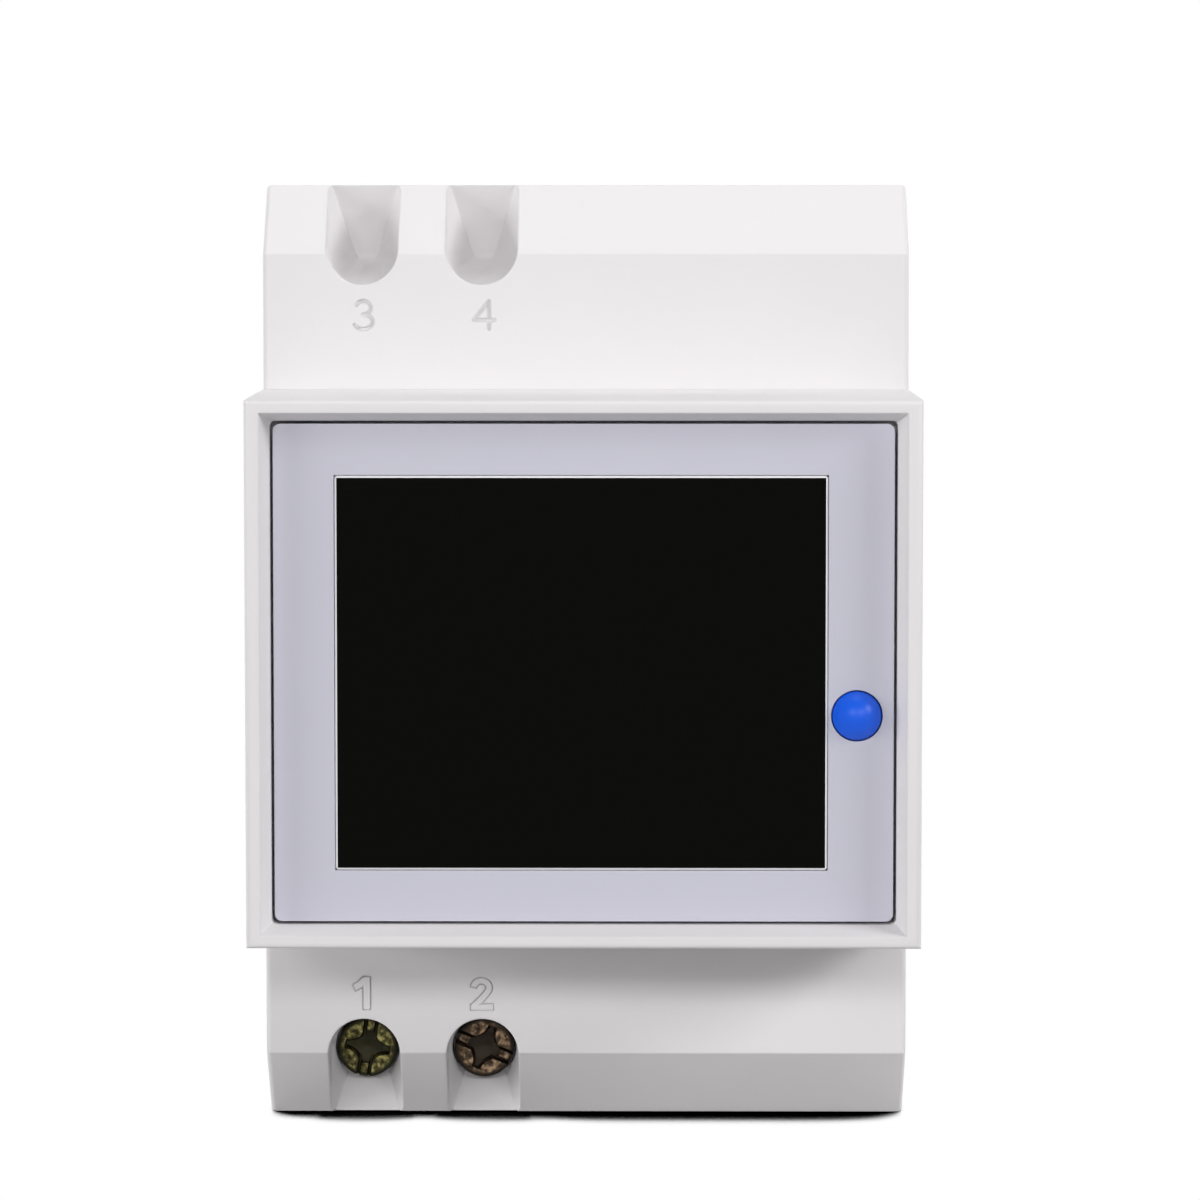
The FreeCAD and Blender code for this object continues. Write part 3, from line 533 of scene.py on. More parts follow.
button_x, _, button_z = centre_of("button_cap")
crown_y, foot_y = (corner[1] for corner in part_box("button_cap"))
button_radius, flange_radius, stem_radius = 1.975 * mm, 2.5 * mm, 1.2 * mm
rim_y, flange_y, flange_back_y = crown_y + 1.25 * mm, crown_y + 3.35 * mm, crown_y + 4.15 * mm
rim_round, flange_break, foot_break = 0.2 * mm, 0.1 * mm, 0.15 * mm
ball = (button_radius ** 2 + (rim_y - crown_y) ** 2) / (2 * (rim_y - crown_y))
sweep = np.linspace(0, math.asin((button_radius - 0.1 * mm) / ball), 24)
dome = np.stack([ball * np.sin(sweep), crown_y + ball * (1 - np.cos(sweep))], -1)
corner = np.radians(np.linspace(60, 0, 5))
rounding = np.stack([button_radius - rim_round * (1 - np.cos(corner)),
                     rim_y + rim_round * (1 - np.sin(corner))], -1)
shaft = [(button_radius, flange_y),
         (flange_radius - flange_break, flange_y), (flange_radius, flange_y + flange_break),
         (flange_radius, flange_back_y - flange_break),
         (flange_radius - flange_break, flange_back_y),
         (stem_radius, flange_back_y), (stem_radius, foot_y - foot_break),
         (stem_radius - foot_break, foot_y), (0.0, foot_y)]
button_mesh = revolved("button_dome", np.concatenate([dome, rounding, shaft]), button_x, button_z)
blue_plastic = moulded("blue_plastic", (0.0, 0.105, 0.8), 0.38, grain=0.5, depth=0.0015,
                       sheen=0.4)
piece("button_dome", button_mesh, blue_plastic, "button_cap", body="button")


# Terminal screws: steel with a dark olive or brown plating, turned and cold-formed. The head has a
# slot right across and a deeper four-lobed cross, and the thread lifts the cage.
def plated(name, colour, node):
    """Plated steel, mottled on the head's lands, with painted shade down in the recess and on the
    rim.
    """
    paint = new_paint(name)
    (x, _, z), head_y = centre_of(node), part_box(node)[0][1]
    across, up, depth = paint.along("X") - x, paint.along("Z") - z, paint.along("Y")
    # Painted shade: the colour is darkened on the rim and down in the recess, where shade falls.
    rim = (across * across + up * up).step((2.1 * mm) ** 2, (2.3 * mm) ** 2)
    painted_shade = depth.step(head_y + 0.48 * mm, head_y + 0.72 * mm)
    painted_shade = (rim + painted_shade - rim * painted_shade) * (depth < head_y + 1.9 * mm)
    blotch = paint.noise(0.5, 4.0)
    lands = paint.mix(blotch.step(0.36, 0.5, "LINEAR"), shade(colour, 0.25), colour)
    lands = paint.mix(blotch.step(0.5, 0.64, "LINEAR"), lands, shade(colour, 4.0))
    shaded_colour = paint.mix(blotch, shade(colour, 0.05), shade(colour, 0.6))
    return paint.shader(Base_Color=paint.mix(painted_shade, lands, shaded_colour), Metallic=0.9 - 0.2 * painted_shade,
                        Roughness=0.26 + 0.3 * blotch + 0.12 * painted_shade,
                        Normal=paint.bump(paint.noise(0.08), 0.008))


land_away, land_radius = 2.6 / math.sqrt(2), 1.44


def head_depth(u, v):
    """How deep the head's recess lies under a point, in millimetres along and across the slot: the
    deepest of the slot, a straight trough with a raised bar along its floor, and of the cross. The
    cross is what four round lands leave free: its edge is where the distance to the nearest land's
    centre, on a diagonal, equals the land's radius, and its arms are shorter along the slot. Its
    floor falls to the middle."""
    radius = np.hypot(u, v)
    land = np.hypot(np.abs(u) - land_away, np.abs(v) - land_away)
    reach = np.where(np.abs(u) > np.abs(v), 1.5, 1.95)
    wall = np.clip(np.minimum((land - land_radius) / 0.2, (reach - radius) / 0.12), 0, 1)
    cross = wall * (0.7 + 0.45 * np.clip(1 - radius / 1.3, 0, 1) ** 0.8)
    trough = np.clip((0.62 - np.abs(v)) / 0.09, 0, 1)
    slot = trough * (0.38 + 0.52 * np.clip((np.abs(v) - 0.3) / 0.07, 0, 1))
    return np.maximum(cross, slot)


def ring_pairs(radius, depth, around):
    """The radius and the depth of points, one row for each ring and one column for each angle."""
    return np.stack(np.broadcast_arrays(radius, depth, around)[:2], -1)


def screw(node, slot_angle):
    """One screw from its head's middle out to the rim, down the side, along the thread and back to
    the axis, in millimetres. The thread's radius follows a triangle wave of depth minus turns."""
    x, _, z = centre_of(node)
    head_y, tip_y = (corner[1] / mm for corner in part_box(node))
    sides, rows, pitch = 240, 110, 0.6
    head_radius, head_round, seat_y, shank_radius = 2.55, 0.18, head_y + 2.2, 1.75
    around = full_circle(sides)
    turned = around - math.radians(slot_angle)
    out = np.linspace(0.02, head_radius - head_round, rows)[:, None]
    crown = 0.1 * (out / head_radius) ** 2
    recess = np.maximum(head_depth(out * np.cos(turned), out * np.sin(turned)), 0)
    head = ring_pairs(out, head_y + (recess + crown), around)
    rim_angle = np.radians(np.linspace(20, 90, 5))[:, None]
    notched = head_depth(head_radius * np.cos(turned), head_radius * np.sin(turned))
    rim_depth = np.maximum(0.1 + head_round * (1 - np.cos(rim_angle)), notched)
    rim = ring_pairs(head_radius - head_round * (1 - np.sin(rim_angle)), head_y + rim_depth, around)
    neck = np.array([(head_radius, seat_y - 0.1), (head_radius - 0.1, seat_y),
                     (shank_radius - 0.2, seat_y), (shank_radius - 0.25, seat_y + 0.2)])
    steps = np.arange(seat_y + 0.25, tip_y - 0.35, pitch / 8)[:, None]
    wave = np.abs(((steps / pitch - around / (2 * math.pi)) % 1.0) * 2 - 1)
    thread = ring_pairs(shank_radius - 0.3 * wave, steps, around)
    tip = np.array([(shank_radius - 0.35, tip_y - 0.3), (shank_radius - 0.65, tip_y)])
    neck, tip = (ring_pairs(points[:, :1], points[:, 1:], around) for points in (neck, tip))
    profile = np.concatenate([head, rim, neck, thread, tip]) * mm
    middle_y = head_y * mm + head_depth(0.0, 0.0) * mm
    return skinned(node + "_turned", rings_round(profile, around, x, z), (x, middle_y, z),
                   (x, tip_y * mm, z), 40)


screw_finishes = {1: ("screw_steel_olive", (0.075, 0.066, 0.024), 81.0),
                  2: ("screw_steel_brown", (0.082, 0.055, 0.034), -22.5)}
for number, (finish, colour, slot_angle) in screw_finishes.items():
    node = "terminal_screw_%d" % number
    piece(node + "_turned", screw(node, slot_angle), plated(finish, colour, node), node,
          body="screw_%d" % number, slot="screw_steel")


# Display stack: the liquid-crystal glass and its milky light guide lie in a black tray that is
# pressed against the back of the panel.
dark_plastic = moulded("dark_plastic", (0.018, 0.018, 0.02), 0.45, grain=0.2, depth=0.006)
dressed("lcd_glass", "display_glass_pair", 0.12,
        moulded("display_glass", (0.2, 0.24, 0.19), 0.08, grain=2, depth=0.0003))
dressed("lcd_backlight", "light_guide", 0.3,
        moulded("diffuser_plastic", (0.82, 0.84, 0.86), 0.55, grain=0.3, depth=0.01))
dressed("lcd_frame", "display_tray", 0.12, dark_plastic)


# Circuit boards: glass-fibre sheets with green varnish over copper tracks and tinned pads. The
# sawn edges show the pale yellow-green fibre.
def circuit_board(name, node, lane):
    """Varnish with tracks from a brick pattern's joints, round pads from the distance to scattered
    points, and bare fibre between the two faces."""
    (_, front_y, _), (_, back_y, _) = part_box(node)
    paint = new_paint(name)
    face = paint.node("CombineXYZ", {}, {"X": paint.along("X"), "Y": paint.along("Z")})
    tracks = paint.node("TexBrick", {"offset": 0.37, "squash": 1.6, "squash_frequency": 3},
                        {"Vector": face, "Scale": 1.0, "Brick Width": 7 * lane,
                         "Row Height": lane, "Mortar Size": 0.22 * mm, "Mortar Smooth": 0.05},
                        out="Fac")
    pads = paint.node("TexVoronoi", {}, {"Vector": face, "Scale": 1 / (3.2 * mm),
                                         "Randomness": 0.75}) < 0.16
    varnish = paint.mix(tracks, (0.006, 0.075, 0.022), (0.02, 0.2, 0.06))
    coated = paint.mix(pads, varnish, (0.72, 0.71, 0.68))
    inside = paint.within("Y", front_y + 0.08 * mm, back_y - 0.08 * mm)
    fibre = paint.mix(paint.noise(0.2), (0.42, 0.44, 0.2), (0.58, 0.57, 0.32))
    bare = pads * (1 - inside)
    return paint.shader(Base_Color=paint.mix(inside, coated, fibre), Metallic=0.9 * bare,
                        Roughness=0.3 + 0.35 * inside + 0.05 * bare,
                        Normal=paint.bump(tracks + pads, 0.03))


for node, name, lane in (("display_board", "display_circuit_board", 1.1 * mm),
                         ("power_board", "power_circuit_board", 1.7 * mm)):
    dressed(node, name, 0.05, circuit_board(name + "_paint", node, lane), segments=1,
            slot="circuit_board")


# Board screws: two small zinc-plated pan heads for each board, with a cross recess and a coarse
# thread for plastic.
def metal(name, colour, rough, grain, stretch, depth=0.003):
    """Bare or plated metal: fine scratches drawn out along one axis over soft cloudy stains."""
    paint = new_paint(name)
    scratch = paint.noise(grain, stretch=stretch)
    stain = paint.noise(3, 2.0)
    return paint.shader(Base_Color=paint.mix(stain, shade(colour, 0.88), shade(colour, 1.08)),
                        Roughness=rough + 0.12 * (scratch - 0.5) + 0.1 * (stain - 0.5),
                        Metallic=1.0, Normal=paint.bump(scratch, depth))


def small_screw(x, z, tip_y, top_y):
    """A pan-head screw from its tip to its head: the thread's radius follows a triangle wave, and
    the head is a flattened dome with a four-armed recess cut by depth."""
    around = full_circle(64)
    under_y, pitch, dome_end = top_y - 1.3 * mm, 0.72 * mm, math.radians(70)
    steps = np.arange(tip_y + 0.5 * mm, under_y - 0.2 * mm, 0.09 * mm)[:, None]
    wave = np.abs(((steps / pitch - around / (2 * math.pi)) % 1.0) * 2 - 1) ** 1.5
    thread = ring_pairs(0.95 * mm - 0.25 * mm * wave, steps, around)
    under = ring_pairs(np.array([[0.7], [1.8]]) * mm, under_y, around)
    dome = np.linspace(0, dome_end, 8)[:, None]
    rim_y = under_y + 0.7 * mm + 0.6 * mm * np.sin(dome) / math.sin(dome_end)
    rim = ring_pairs(1.45 * mm + 0.35 * mm * np.cos(dome), rim_y, around)
    reach = np.linspace(1.4, 0.05, 26)[:, None] * mm
    arms = (0.42 + 0.75 * np.abs(np.cos(2 * around)) ** 4) * mm
    recess = np.clip((arms - reach) / (0.1 * mm), 0, 1) * (0.75 * mm - 0.3 * reach)
    top = ring_pairs(reach, top_y - recess, around)
    profile = np.concatenate([thread, under, rim, top])
    return skinned("small_screw", rings_round(profile, around, x, z), (x, tip_y, z),
                   (x, top_y - 0.75 * mm, z), 35)


zinc_steel = metal("zinc_steel", (0.62, 0.64, 0.66), 0.3, 0.3, (1.0, 0.15, 1.0))
head_radius = 1.8 * mm
for node in ("display_screws", "board_screws"):
    low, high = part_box(node)
    x, z = high[0] - head_radius, high[2] - head_radius
    pair = [small_screw(side * x, side * z, low[1], high[1]) for side in (-1, 1)]
    piece(node + "_turned", pair, zinc_steel, node)


# Switch under the button, and the header that joins the boards: black plastic with tinned metal.
# The switch has a metal cover plate, and the header's pins stand in two plastic strips.
def part_metal(name, colour, metal_share, dimple=None):
    """Dark moulded plastic and tinned metal in one part. The share, a function of the paint, says
    where the metal is. A dimple marks the point where a chip's first leg is."""
    paint = new_paint(name)
    share = metal_share(paint)
    relief = paint.noise(0.2, 2.0)
    if dimple:
        away = paint.node("VectorMath", {"operation": "DISTANCE"},
                          {0: paint.place(), 1: dimple}, out="Value")
        relief = relief + 12 * away.step(0.45 * mm, 0.55 * mm)
    stain = paint.noise(1.5, 2.0)
    return paint.shader(Base_Color=paint.mix(share, colour, (0.68, 0.67, 0.64)), Metallic=share,
                        Roughness=0.48 - 0.2 * share + 0.1 * (stain - 0.5),
                        Normal=paint.bump(relief, 0.004))


def block(low, high, width, segments=2):
    """A block between two corners with its edges rounded by a width in millimetres."""
    made = bmesh.new()
    bmesh.ops.create_cube(made, size=1.0)
    low, high = np.array(low), np.array(high)
    for corner in made.verts:
        corner.co = Vector((low + high) / 2 + np.array(corner.co) * (high - low))
    bmesh.ops.bevel(made, geom=made.edges, offset=width * mm, segments=segments,
                    profile=0.5, affect="EDGES")
    return new_mesh("block", made)


black = (0.02, 0.02, 0.022)
plate_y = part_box("tact_switch")[0][1] + 0.35 * mm
switch_paint = part_metal("switch_paint", black, lambda paint: paint.along("Y") < plate_y)
dressed("tact_switch", "push_switch", 0.12, switch_paint, slot="dark_plastic")

low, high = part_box("board_header")
strip_low, strip_high = low[1] + 2.5 * mm, high[1] - 2.5 * mm
pin_half, row_half = 0.32 * mm, 1.27 * mm
pins_x = np.linspace(low[0] + 1.3 * mm, high[0] - 1.3 * mm, 8)
header_z = centre_of("board_header")[2]
header = [block(low, (high[0], strip_low, high[2]), 0.2),
          block((low[0], strip_high, low[2]), high, 0.2)]
header += [block((x - pin_half, low[1] + 0.1 * mm, z - pin_half),
                 (x + pin_half, high[1] - 0.1 * mm, z + pin_half), 0.06, 1)
           for x in pins_x for z in (header_z - row_half, header_z + row_half)]
header_paint = part_metal("header_paint", black,
                          lambda paint: paint.within("Y", strip_low, strip_high))
piece("pin_header", smooth_by_angle(joined("pin_header", header)), header_paint, "board_header",
      slot="dark_plastic")
nodes["switch_plunger"].material_slots[0].material = dark_plastic


# Transformer: a ferrite frame in two E-shaped halves, glued end to end, round a black bobbin whose
# winding is wrapped in amber tape. It stands on the back of the power board.
def ringed(name, low, high, sections, power=6.0, sides=72):
    """Rings stacked along Z between the ends of a box. Each section gives its share of the height
    and how far the outline is drawn in there. The outline is a superellipse: a power of |u| plus
    the same power of |v| is 1, u and v being in half widths."""
    low, high = np.array(low), np.array(high)
    around = full_circle(sides)
    way = np.stack([np.cos(around), np.sin(around)], -1)
    way = np.sign(way) * np.abs(way) ** (2 / power)
    share, inset = np.array(sections, float).T
    half = (high - low)[:2] / 2 - inset[:, None]
    middle = (low + high)[:2] / 2
    flat = middle + way * half[:, None]
    height = low[2] + share * (high[2] - low[2])
    level = np.broadcast_to(height[:, None, None], flat.shape[:2] + (1,))
    return skinned(name, np.concatenate([flat, level], -1), (*middle, height[0]),
                   (*middle, height[-1]))


def sintered(name, colour, joint_z):
    """Fired ferrite: fine pits and grey flecks, and a thin line of glue at one height."""
    paint = new_paint(name)
    pits = paint.noise(0.15, 4.0)
    flecks = paint.noise(0.5, 2.0).step(0.62, 0.7)
    glue = abs(paint.along("Z") - joint_z) < 0.08 * mm
    body = paint.mix(flecks, colour, shade(colour, 1.8))
    return paint.shader(Base_Color=paint.mix(glue, body, (0.35, 0.24, 0.08)),
                        Roughness=0.62 - 0.3 * glue + 0.1 * (pits - 0.5),
                        Normal=paint.bump(pits, 0.02))


def wrapped(name, low_z, high_z):
    """Amber tape between two black flanges: fine edges of the tape's layers run round it."""
    paint = new_paint(name)
    taped = paint.within("Z", low_z, high_z)
    layers = paint.noise(0.5, stretch=(0.06, 0.06, 1.0))
    amber = paint.mix(layers, (0.62, 0.38, 0.03), (0.85, 0.6, 0.1))
    return paint.shader(Base_Color=paint.mix(taped, black, amber),
                        Roughness=0.5 - 0.28 * taped + 0.1 * (layers - 0.5),
                        Normal=paint.bump(layers, 0.03))


dressed("transformer_core", "transformer_frame", 0.35,
        sintered("ferrite", (0.035, 0.035, 0.04), centre_of("transformer_core")[2]))
low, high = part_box("transformer_winding")
flange = 0.09
sections = [(0.0, 0.15 * mm), (0.015, 0.0), (flange, 0.0)]
sections += [(flange + 0.003 + (0.994 - 2 * flange) * share,
              (0.8 - 0.35 * math.sin(math.pi * share)) * mm) for share in np.linspace(0, 1, 14)]
sections += [(1 - flange, 0.0), (0.985, 0.0), (1.0, 0.15 * mm)]
flange_height = flange * (high[2] - low[2])
piece("taped_winding", ringed("taped_winding", low, high, sections),
      wrapped("winding_tape", low[2] + flange_height, high[2] - flange_height),
      "transformer_winding")


# Film capacitor: a box moulded in matt yellow plastic and filled with resin from below. It stands
# on the power board beside the transformer.
dressed("film_capacitor", "film_capacitor_box", 0.3,
        moulded("capacitor_box", (0.6, 0.52, 0.07), 0.5, grain=0.18, depth=0.008))


# Electrolytic capacitors: aluminium cans in dark shrunk sleeves. Each has a pressed groove over its
# plug, a rolled shoulder round the bare top, a scored vent cross and a pale stripe down one side.
def sleeved(name, x, middle_z, half_pitch, radius, top_y):
    """Glossy shrunk sleeve up to the rim of the top, bare metal inside it, and a stripe where the
    side faces +X. The vent's two scores are thin bands through each centre. The two cans mirror
    each other, so that up counts from the nearer centre."""
    paint = new_paint(name)
    across = paint.along("X") - x
    up = abs(paint.along("Z") - middle_z) - half_pitch
    bare = (across * across + up * up < (0.78 * radius) ** 2) * (paint.along("Y") > top_y)
    scores = (abs(across) < 0.12 * mm) + (abs(up) < 0.12 * mm)
    wrinkles = paint.noise(1.2)
    sleeve = paint.mix(across > 0.86 * radius, (0.012, 0.016, 0.05), (0.6, 0.62, 0.66))
    return paint.shader(Base_Color=paint.mix(bare, sleeve, (0.72, 0.73, 0.75)), Metallic=bare,
                        Roughness=0.3 + 0.1 * (wrinkles - 0.5) + 0.1 * bare,
                        Normal=paint.bump(wrinkles - bare * scores, 0.03))


low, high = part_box("electrolytic_capacitors")
can_x, _, cans_z = centre_of("electrolytic_capacitors")
can_radius = (high[0] - low[0]) / 2
can_zs = (low[2] + can_radius, high[2] - can_radius)
shoulder_round, groove_sunk, plug_edge = 0.5 * mm, 0.35 * mm, 0.2 * mm
turn = np.radians(np.linspace(0, 90, 7))
shoulder = [(can_radius - shoulder_round * (1 - math.cos(angle)),
             high[1] - shoulder_round * (1 - math.sin(angle))) for angle in turn]
groove = [(can_radius - groove_sunk * math.sin(angle), low[1] + (1.3 + 1.2 * angle / math.pi) * mm)
          for angle in np.linspace(0, math.pi, 9)]
foot = [(0.0, low[1]), (can_radius - plug_edge, low[1]), (can_radius, low[1] + plug_edge)]
top = [(can_radius - 0.9 * mm, high[1]), (can_radius - 1.0 * mm, high[1] - 0.15 * mm),
       (0.0, high[1] - 0.15 * mm)]
cans = [revolved("can", foot + groove + shoulder + top, can_x, z, 72) for z in can_zs]
piece("sleeved_cans", cans, sleeved("capacitor_sleeve", can_x, cans_z, can_zs[1] - cans_z,
                                    can_radius, high[1] - 0.3 * mm), "electrolytic_capacitors")


# Varistor and fusible resistor: a pressed disc and a wound rod, both dipped in thick lacquer, on
# tinned leads that are bent down to the board.
def dipped(name, colour, lead_share, bands=()):
    """Dipped lacquer, thick and slightly lumpy, with bare tinned leads where the share says so, and
    bands 0.7 mm wide: each is a place along X and a colour."""
    paint = new_paint(name)
    lead = lead_share(paint)
    lumps = paint.noise(1.4, 2.0)
    tone = paint.mix(lumps, shade(colour, 0.85), shade(colour, 1.1))
    for middle, band in bands:
        tone = paint.mix(abs(paint.along("X") - middle) < 0.35 * mm, tone, band)
    return paint.shader(Base_Color=paint.mix(lead, tone, (0.7, 0.69, 0.66)), Metallic=lead,
                        Roughness=0.4 + 0.15 * (lumps - 0.5) - 0.08 * lead,
                        Normal=paint.bump(lumps, 0.08))


low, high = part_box("varistor")
disc_x, _, disc_z = centre_of("varistor")
disc_radius, half_thick = (high[0] - low[0]) / 2, (high[2] - low[2]) / 2
disc_y = high[1] - disc_radius
turn = np.linspace(-math.pi / 2, math.pi / 2, 31)
disc = np.stack([disc_radius * np.abs(np.cos(turn)) ** 0.35,
                 disc_z + half_thick * np.sign(np.sin(turn)) * np.abs(np.sin(turn)) ** 0.8], -1)
lead_radius, lead_foot = 0.35 * mm, 0.4 * mm
bent = ((1.4, -2, 0.8), (1.9, -4.4, 0.8), (2.5, -5.8, 0.4))
leads = [stroke([(disc_x + side * x * mm, disc_y + y * mm, disc_z + side * z * mm)
                 for x, y, z in bent] + [(disc_x + side * 2.5 * mm, low[1] + lead_foot, disc_z)],
                lead_radius, flat=(0, 0, 1)) for side in (-1, 1)]
disc_mesh = revolved("disc", disc, disc_x, disc_y, 96, 50, [0, 2, 1])
lead_top = low[1] + 2 * mm
piece("lacquered_disc", [disc_mesh] + leads,
      dipped("varistor_coat", (0.02, 0.09, 0.38), lambda paint: paint.along("Y") < lead_top),
      "varistor")

low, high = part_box("fuse_resistor")
_, rod_y, rod_z = centre_of("fuse_resistor")
rod_radius, body_low, body_high = (high[2] - low[2]) / 2, low[0] + 1.2 * mm, high[0] - 1.2 * mm
share = np.linspace(0, 1, 40)
swell = np.minimum(1, np.sqrt(np.sin(math.pi * share)) * 2.2)
waist = 1 - 0.16 * np.clip((0.28 - np.abs(share - 0.5)) / 0.1, 0, 1)
rod = np.stack([rod_radius * swell * waist, body_low + share * (body_high - body_low)], -1)
bends = [stroke([(inner, rod_y, rod_z), (outer, rod_y, rod_z), (outer, low[1] + lead_foot, rod_z)],
                lead_radius, flat=(0, 0, 1))
         for inner, outer in ((body_low + 0.5 * mm, low[0] + lead_foot),
                              (body_high - 0.5 * mm, high[0] - lead_foot))]
rod_mesh = revolved("rod", rod, rod_y, rod_z, 72, 50, [1, 0, 2])
band_colours = {2.0: (0.3, 0.09, 0.01), 3.4: (0.01, 0.01, 0.01), 4.8: (0.01, 0.01, 0.01),
                6.6: (0.55, 0.4, 0.08)}
bands = [(body_low + place * mm, colour) for place, colour in band_colours.items()]
coat = dipped("resistor_coat", (0.14, 0.3, 0.18),
              lambda paint: 1 - paint.within("X", body_low, body_high), bands)
piece("banded_resistor", [rod_mesh] + bends, coat, "fuse_resistor")


# Chips: black moulded bodies on tinned gull-wing legs. The metering chip is behind the power board
# and the controller, with legs on all four sides, is on its front.
def chip(node, name, up, ways, reach, rounding, leg, dimple):
    """A body with a row of legs on each side that the ways name. Up is 1 behind the board and -1 in
    front of it. A leg is a height, pitch, width and count, all in millimetres but the count. It
    leaves the body level, dips to the board on a smooth step and ends in a flat foot: the height
    falls by the cubic 3 t t - 2 t t t of its share. The dimple is told from the outer corner."""
    low, high = (np.array(corner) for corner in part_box(node))
    x, _, z = centre_of(node)
    board_y, top_y = (low[1], high[1]) if up > 0 else (high[1], low[1])
    reach = reach * mm
    inset = np.abs(ways).max(0) * reach
    lift = np.array([0.0, 0.1 * mm, 0.0])
    body = block(low + inset + lift * (up > 0), high - inset - lift * (up < 0), rounding)
    half_x, _, half_z = (high - low) / 2 - inset
    height, pitch, width = (part * mm for part in leg[:3])
    foot_height, thickness = 0.12 * mm, 0.18 * mm
    share = np.linspace(0, 1, 12)
    fall = np.clip((share - 0.25) / 0.35, 0, 1)
    rise = foot_height + (height - foot_height) * (1 - fall ** 2 * (3 - 2 * fall))
    root = half_x - 0.05 * mm
    legs = []
    for way in np.array(ways, float):
        along = np.abs(way[::-1])
        out = way * (root + share * (reach + 0.05 * mm))[:, None]
        leg_path = np.array([x, board_y, z]) + (out + np.array([0, up, 0]) * rise[:, None])
        legs += [bent_strip(leg_path + along * (n - (leg[3] - 1) / 2) * pitch, width, thickness,
                            along) for n in range(leg[3])]
    edge = 0.01 * mm
    paint = part_metal(name + "_paint", (0.016, 0.016, 0.018), lambda paint: 1 - (
        abs(paint.along("X") - x) < half_x + edge) * (abs(paint.along("Z") - z) < half_z + edge),
        (low[0] + dimple[0] * mm, top_y, high[2] - dimple[1] * mm))
    piece(name, [body] + legs, paint, node, slot="dark_plastic")


chip("metering_chip", "metering_chip_legged", 1, ((-1, 0, 0), (1, 0, 0)), 1.3, 0.12,
     (1.0, 1.2, 0.4, 8), (2.3, 1.0))
chip("microcontroller", "controller_legged", -1, ((1, 0, 0), (-1, 0, 0), (0, 0, 1), (0, 0, -1)),
     0.8, 0.1, (0.8, 0.6, 0.25, 12), (1.8, 1.8))


# Timing crystal: a drawn nickel-silver can, low and oval, welded to its base. It stands on the
# power board.
dressed("crystal", "crystal_can", 0.45,
        metal("nickel_silver", (0.66, 0.65, 0.6), 0.28, 0.25, (0.12, 1.0, 1.0)), segments=3,
        slot="zinc_steel")


# Current path: hard copper bars, punched from strip. The measuring strip of resistance alloy is
# brazed between the two line bars, and tinned pins take its voltage to the power board.
copper = metal("copper", (0.8, 0.42, 0.27), 0.3, 0.25, (1.0, 1.0, 0.06))
dressed("line_bar_lower", "line_bar_cut_lower", 0.2, copper)
dressed("line_bar_upper", "line_bar_cut_upper", 0.2, copper)
dressed("neutral_bar", "neutral_bar_cut", 0.2, copper)


def brazed(name, colour, half_length):
    """Resistance alloy, drawn fine along Z, with a ragged silvery fillet of braze at both ends."""
    paint = new_paint(name)
    drawn = paint.noise(0.25, stretch=(1.0, 1.0, 0.06))
    ragged = paint.noise(0.8)
    braze = (abs(paint.along("Z")) + 0.8 * mm * ragged) > half_length - 0.6 * mm
    return paint.shader(Base_Color=paint.mix(braze, colour, (0.74, 0.7, 0.58)), Metallic=1.0,
                        Roughness=0.34 + 0.14 * (drawn - 0.5) + 0.1 * braze,
                        Normal=paint.bump(drawn + braze, 0.01))


dressed("shunt_strip", "measuring_strip", 0.12,
        brazed("manganin", (0.56, 0.36, 0.26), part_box("shunt_strip")[1][2]))

low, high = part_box("sense_pins")
pin_radius, tip, pin_low, pin_high = 0.5 * mm, 0.15 * mm, low[1], high[1]
pin_profile = [(0.0, pin_low), (pin_radius - tip, pin_low), (pin_radius, pin_low + tip),
               (pin_radius, pin_high - tip), (pin_radius - tip, pin_high), (0.0, pin_high)]
pin_places = [(low[0] + pin_radius, low[2] + pin_radius),
              (low[0] + pin_radius, high[2] - pin_radius),
              (high[0] - pin_radius, centre_of("sense_pins")[2])]
tinned = metal("tinned_copper", (0.7, 0.69, 0.66), 0.32, 0.2, (1.0, 0.1, 1.0))
pins = [revolved("pin", pin_profile, x, z, 32) for x, z in pin_places]
piece("sense_pins_tipped", pins, tinned, "sense_pins")


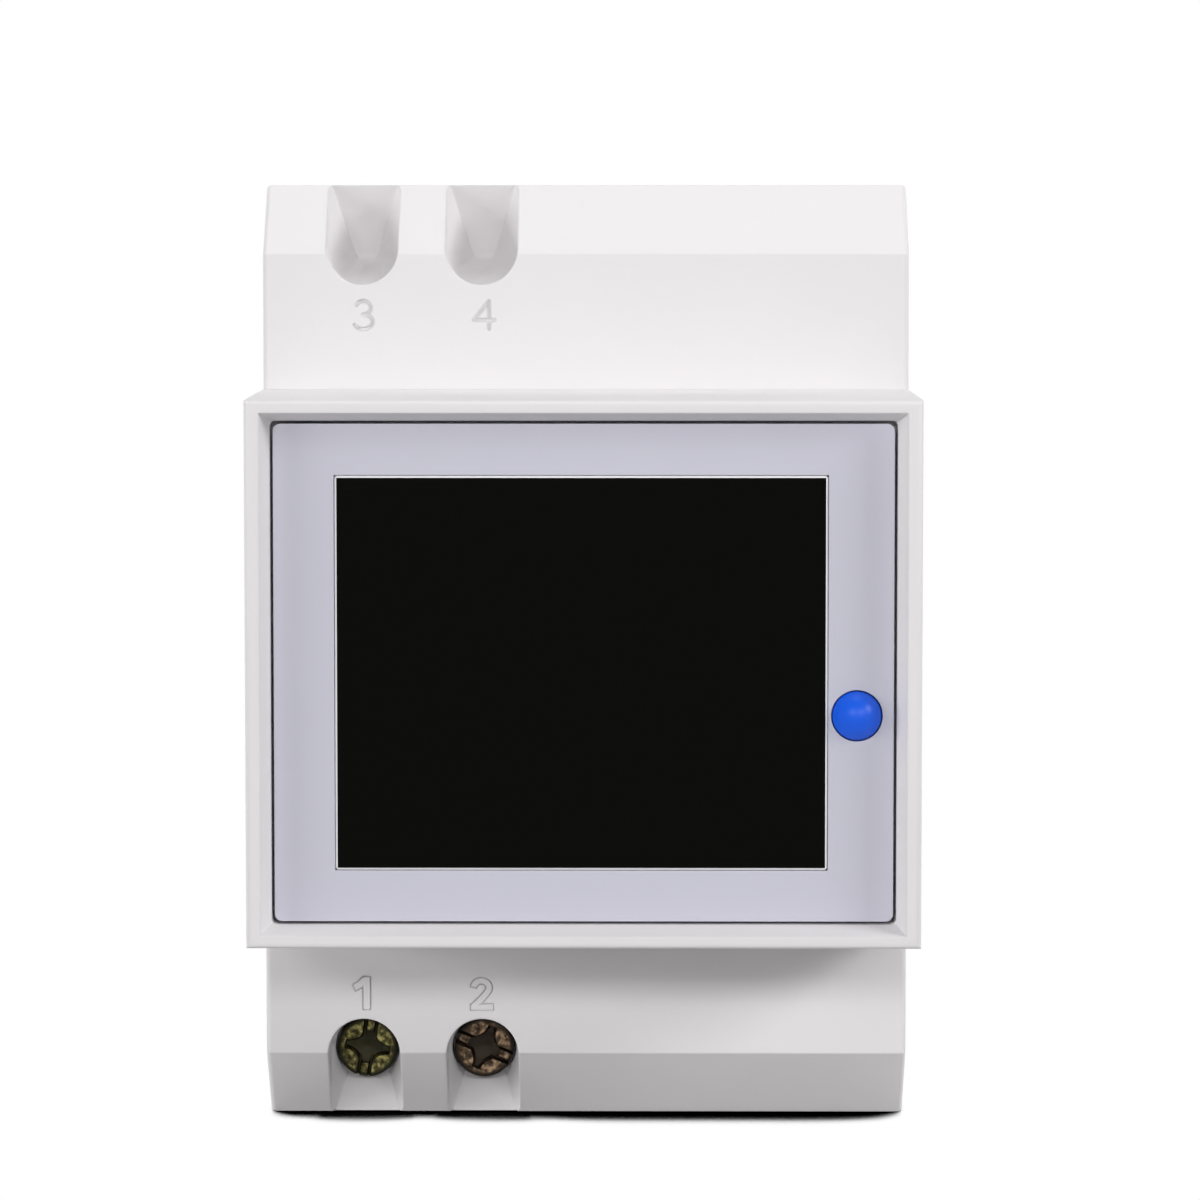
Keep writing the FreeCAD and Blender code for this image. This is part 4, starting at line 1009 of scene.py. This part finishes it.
# Terminals: bent steel cages, zinc-plated, that the screws lift against the bars, and at the other
# end leaf springs that press a pushed-in wire on them.
cage_steel = metal("cage_steel", (0.62, 0.63, 0.64), 0.36, 0.4, (1.0, 0.3, 1.0), 0.006)
for number in (1, 2):
    node = "terminal_cage_%d" % number
    dressed(node, node + "_formed", 0.25, cage_steel, body="cage_%d" % number, slot="zinc_steel")
dressed("push_in_springs", "wire_springs", 0.08,
        metal("spring_strip", (0.58, 0.58, 0.6), 0.26, 0.2, (0.08, 1.0, 1.0)), segments=1,
        slot="spring_steel")


# Rail latch: a sliding plate in pale glass-filled nylon with a screwdriver slot, and the steel coil
# spring in its window that pushes it back under the rail.
glass_filled = moulded("clip_plastic", (0.66, 0.66, 0.67), 0.55, grain=0.35, depth=0.012, lip=0.1)
dressed("din_clip", "rail_latch", 0.3, glass_filled, body="rail_clip")

low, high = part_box("clip_spring")
coil_x, coil_y, _ = centre_of("clip_spring")
wire, coil_turns, fixed_z = 0.22 * mm, 7, -31.9 * mm
coil_radius = (high[0] - low[0]) / 2 - wire
turned = np.linspace(0, 2 * math.pi * coil_turns, 28 * coil_turns)
climb = (high[2] - low[2] - 2 * wire) / (2 * math.pi * coil_turns)
outward = np.stack([np.cos(turned), np.sin(turned), 0 * turned], -1)
ahead = np.stack([-coil_radius * np.sin(turned), coil_radius * np.cos(turned),
                  climb + 0 * turned], -1)
ahead /= np.linalg.norm(ahead, axis=1)[:, None]
square = np.cross(ahead, outward)
centre = (np.array([coil_x, coil_y, low[2] + wire]) + outward * coil_radius
          + np.array([0, 0, 1]) * (climb * turned)[:, None])
around = full_circle(14)[:, None]
coil = centre[:, None] + wire * (np.cos(around) * outward[:, None]
                                 + np.sin(around) * square[:, None])
drawn_wire = metal("spring_steel", (0.6, 0.6, 0.61), 0.24, 0.15, (0.3, 0.3, 1.0))
spring = piece("coil_spring", skinned("coil_spring", coil, centre[0], centre[-1], 60), drawn_wire,
               "clip_spring")
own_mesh(spring)


# Base housing: the rear half in the same satin ABS, with the wire entries, the slot for the
# rail and its hook. It snaps on the cover's tongues.
dressed("base_housing", "base_shell", 0.0,
        moulded("base_plastic", (0.8, 0.78, 0.787), 0.45, lip=0.15), slot="white_plastic")
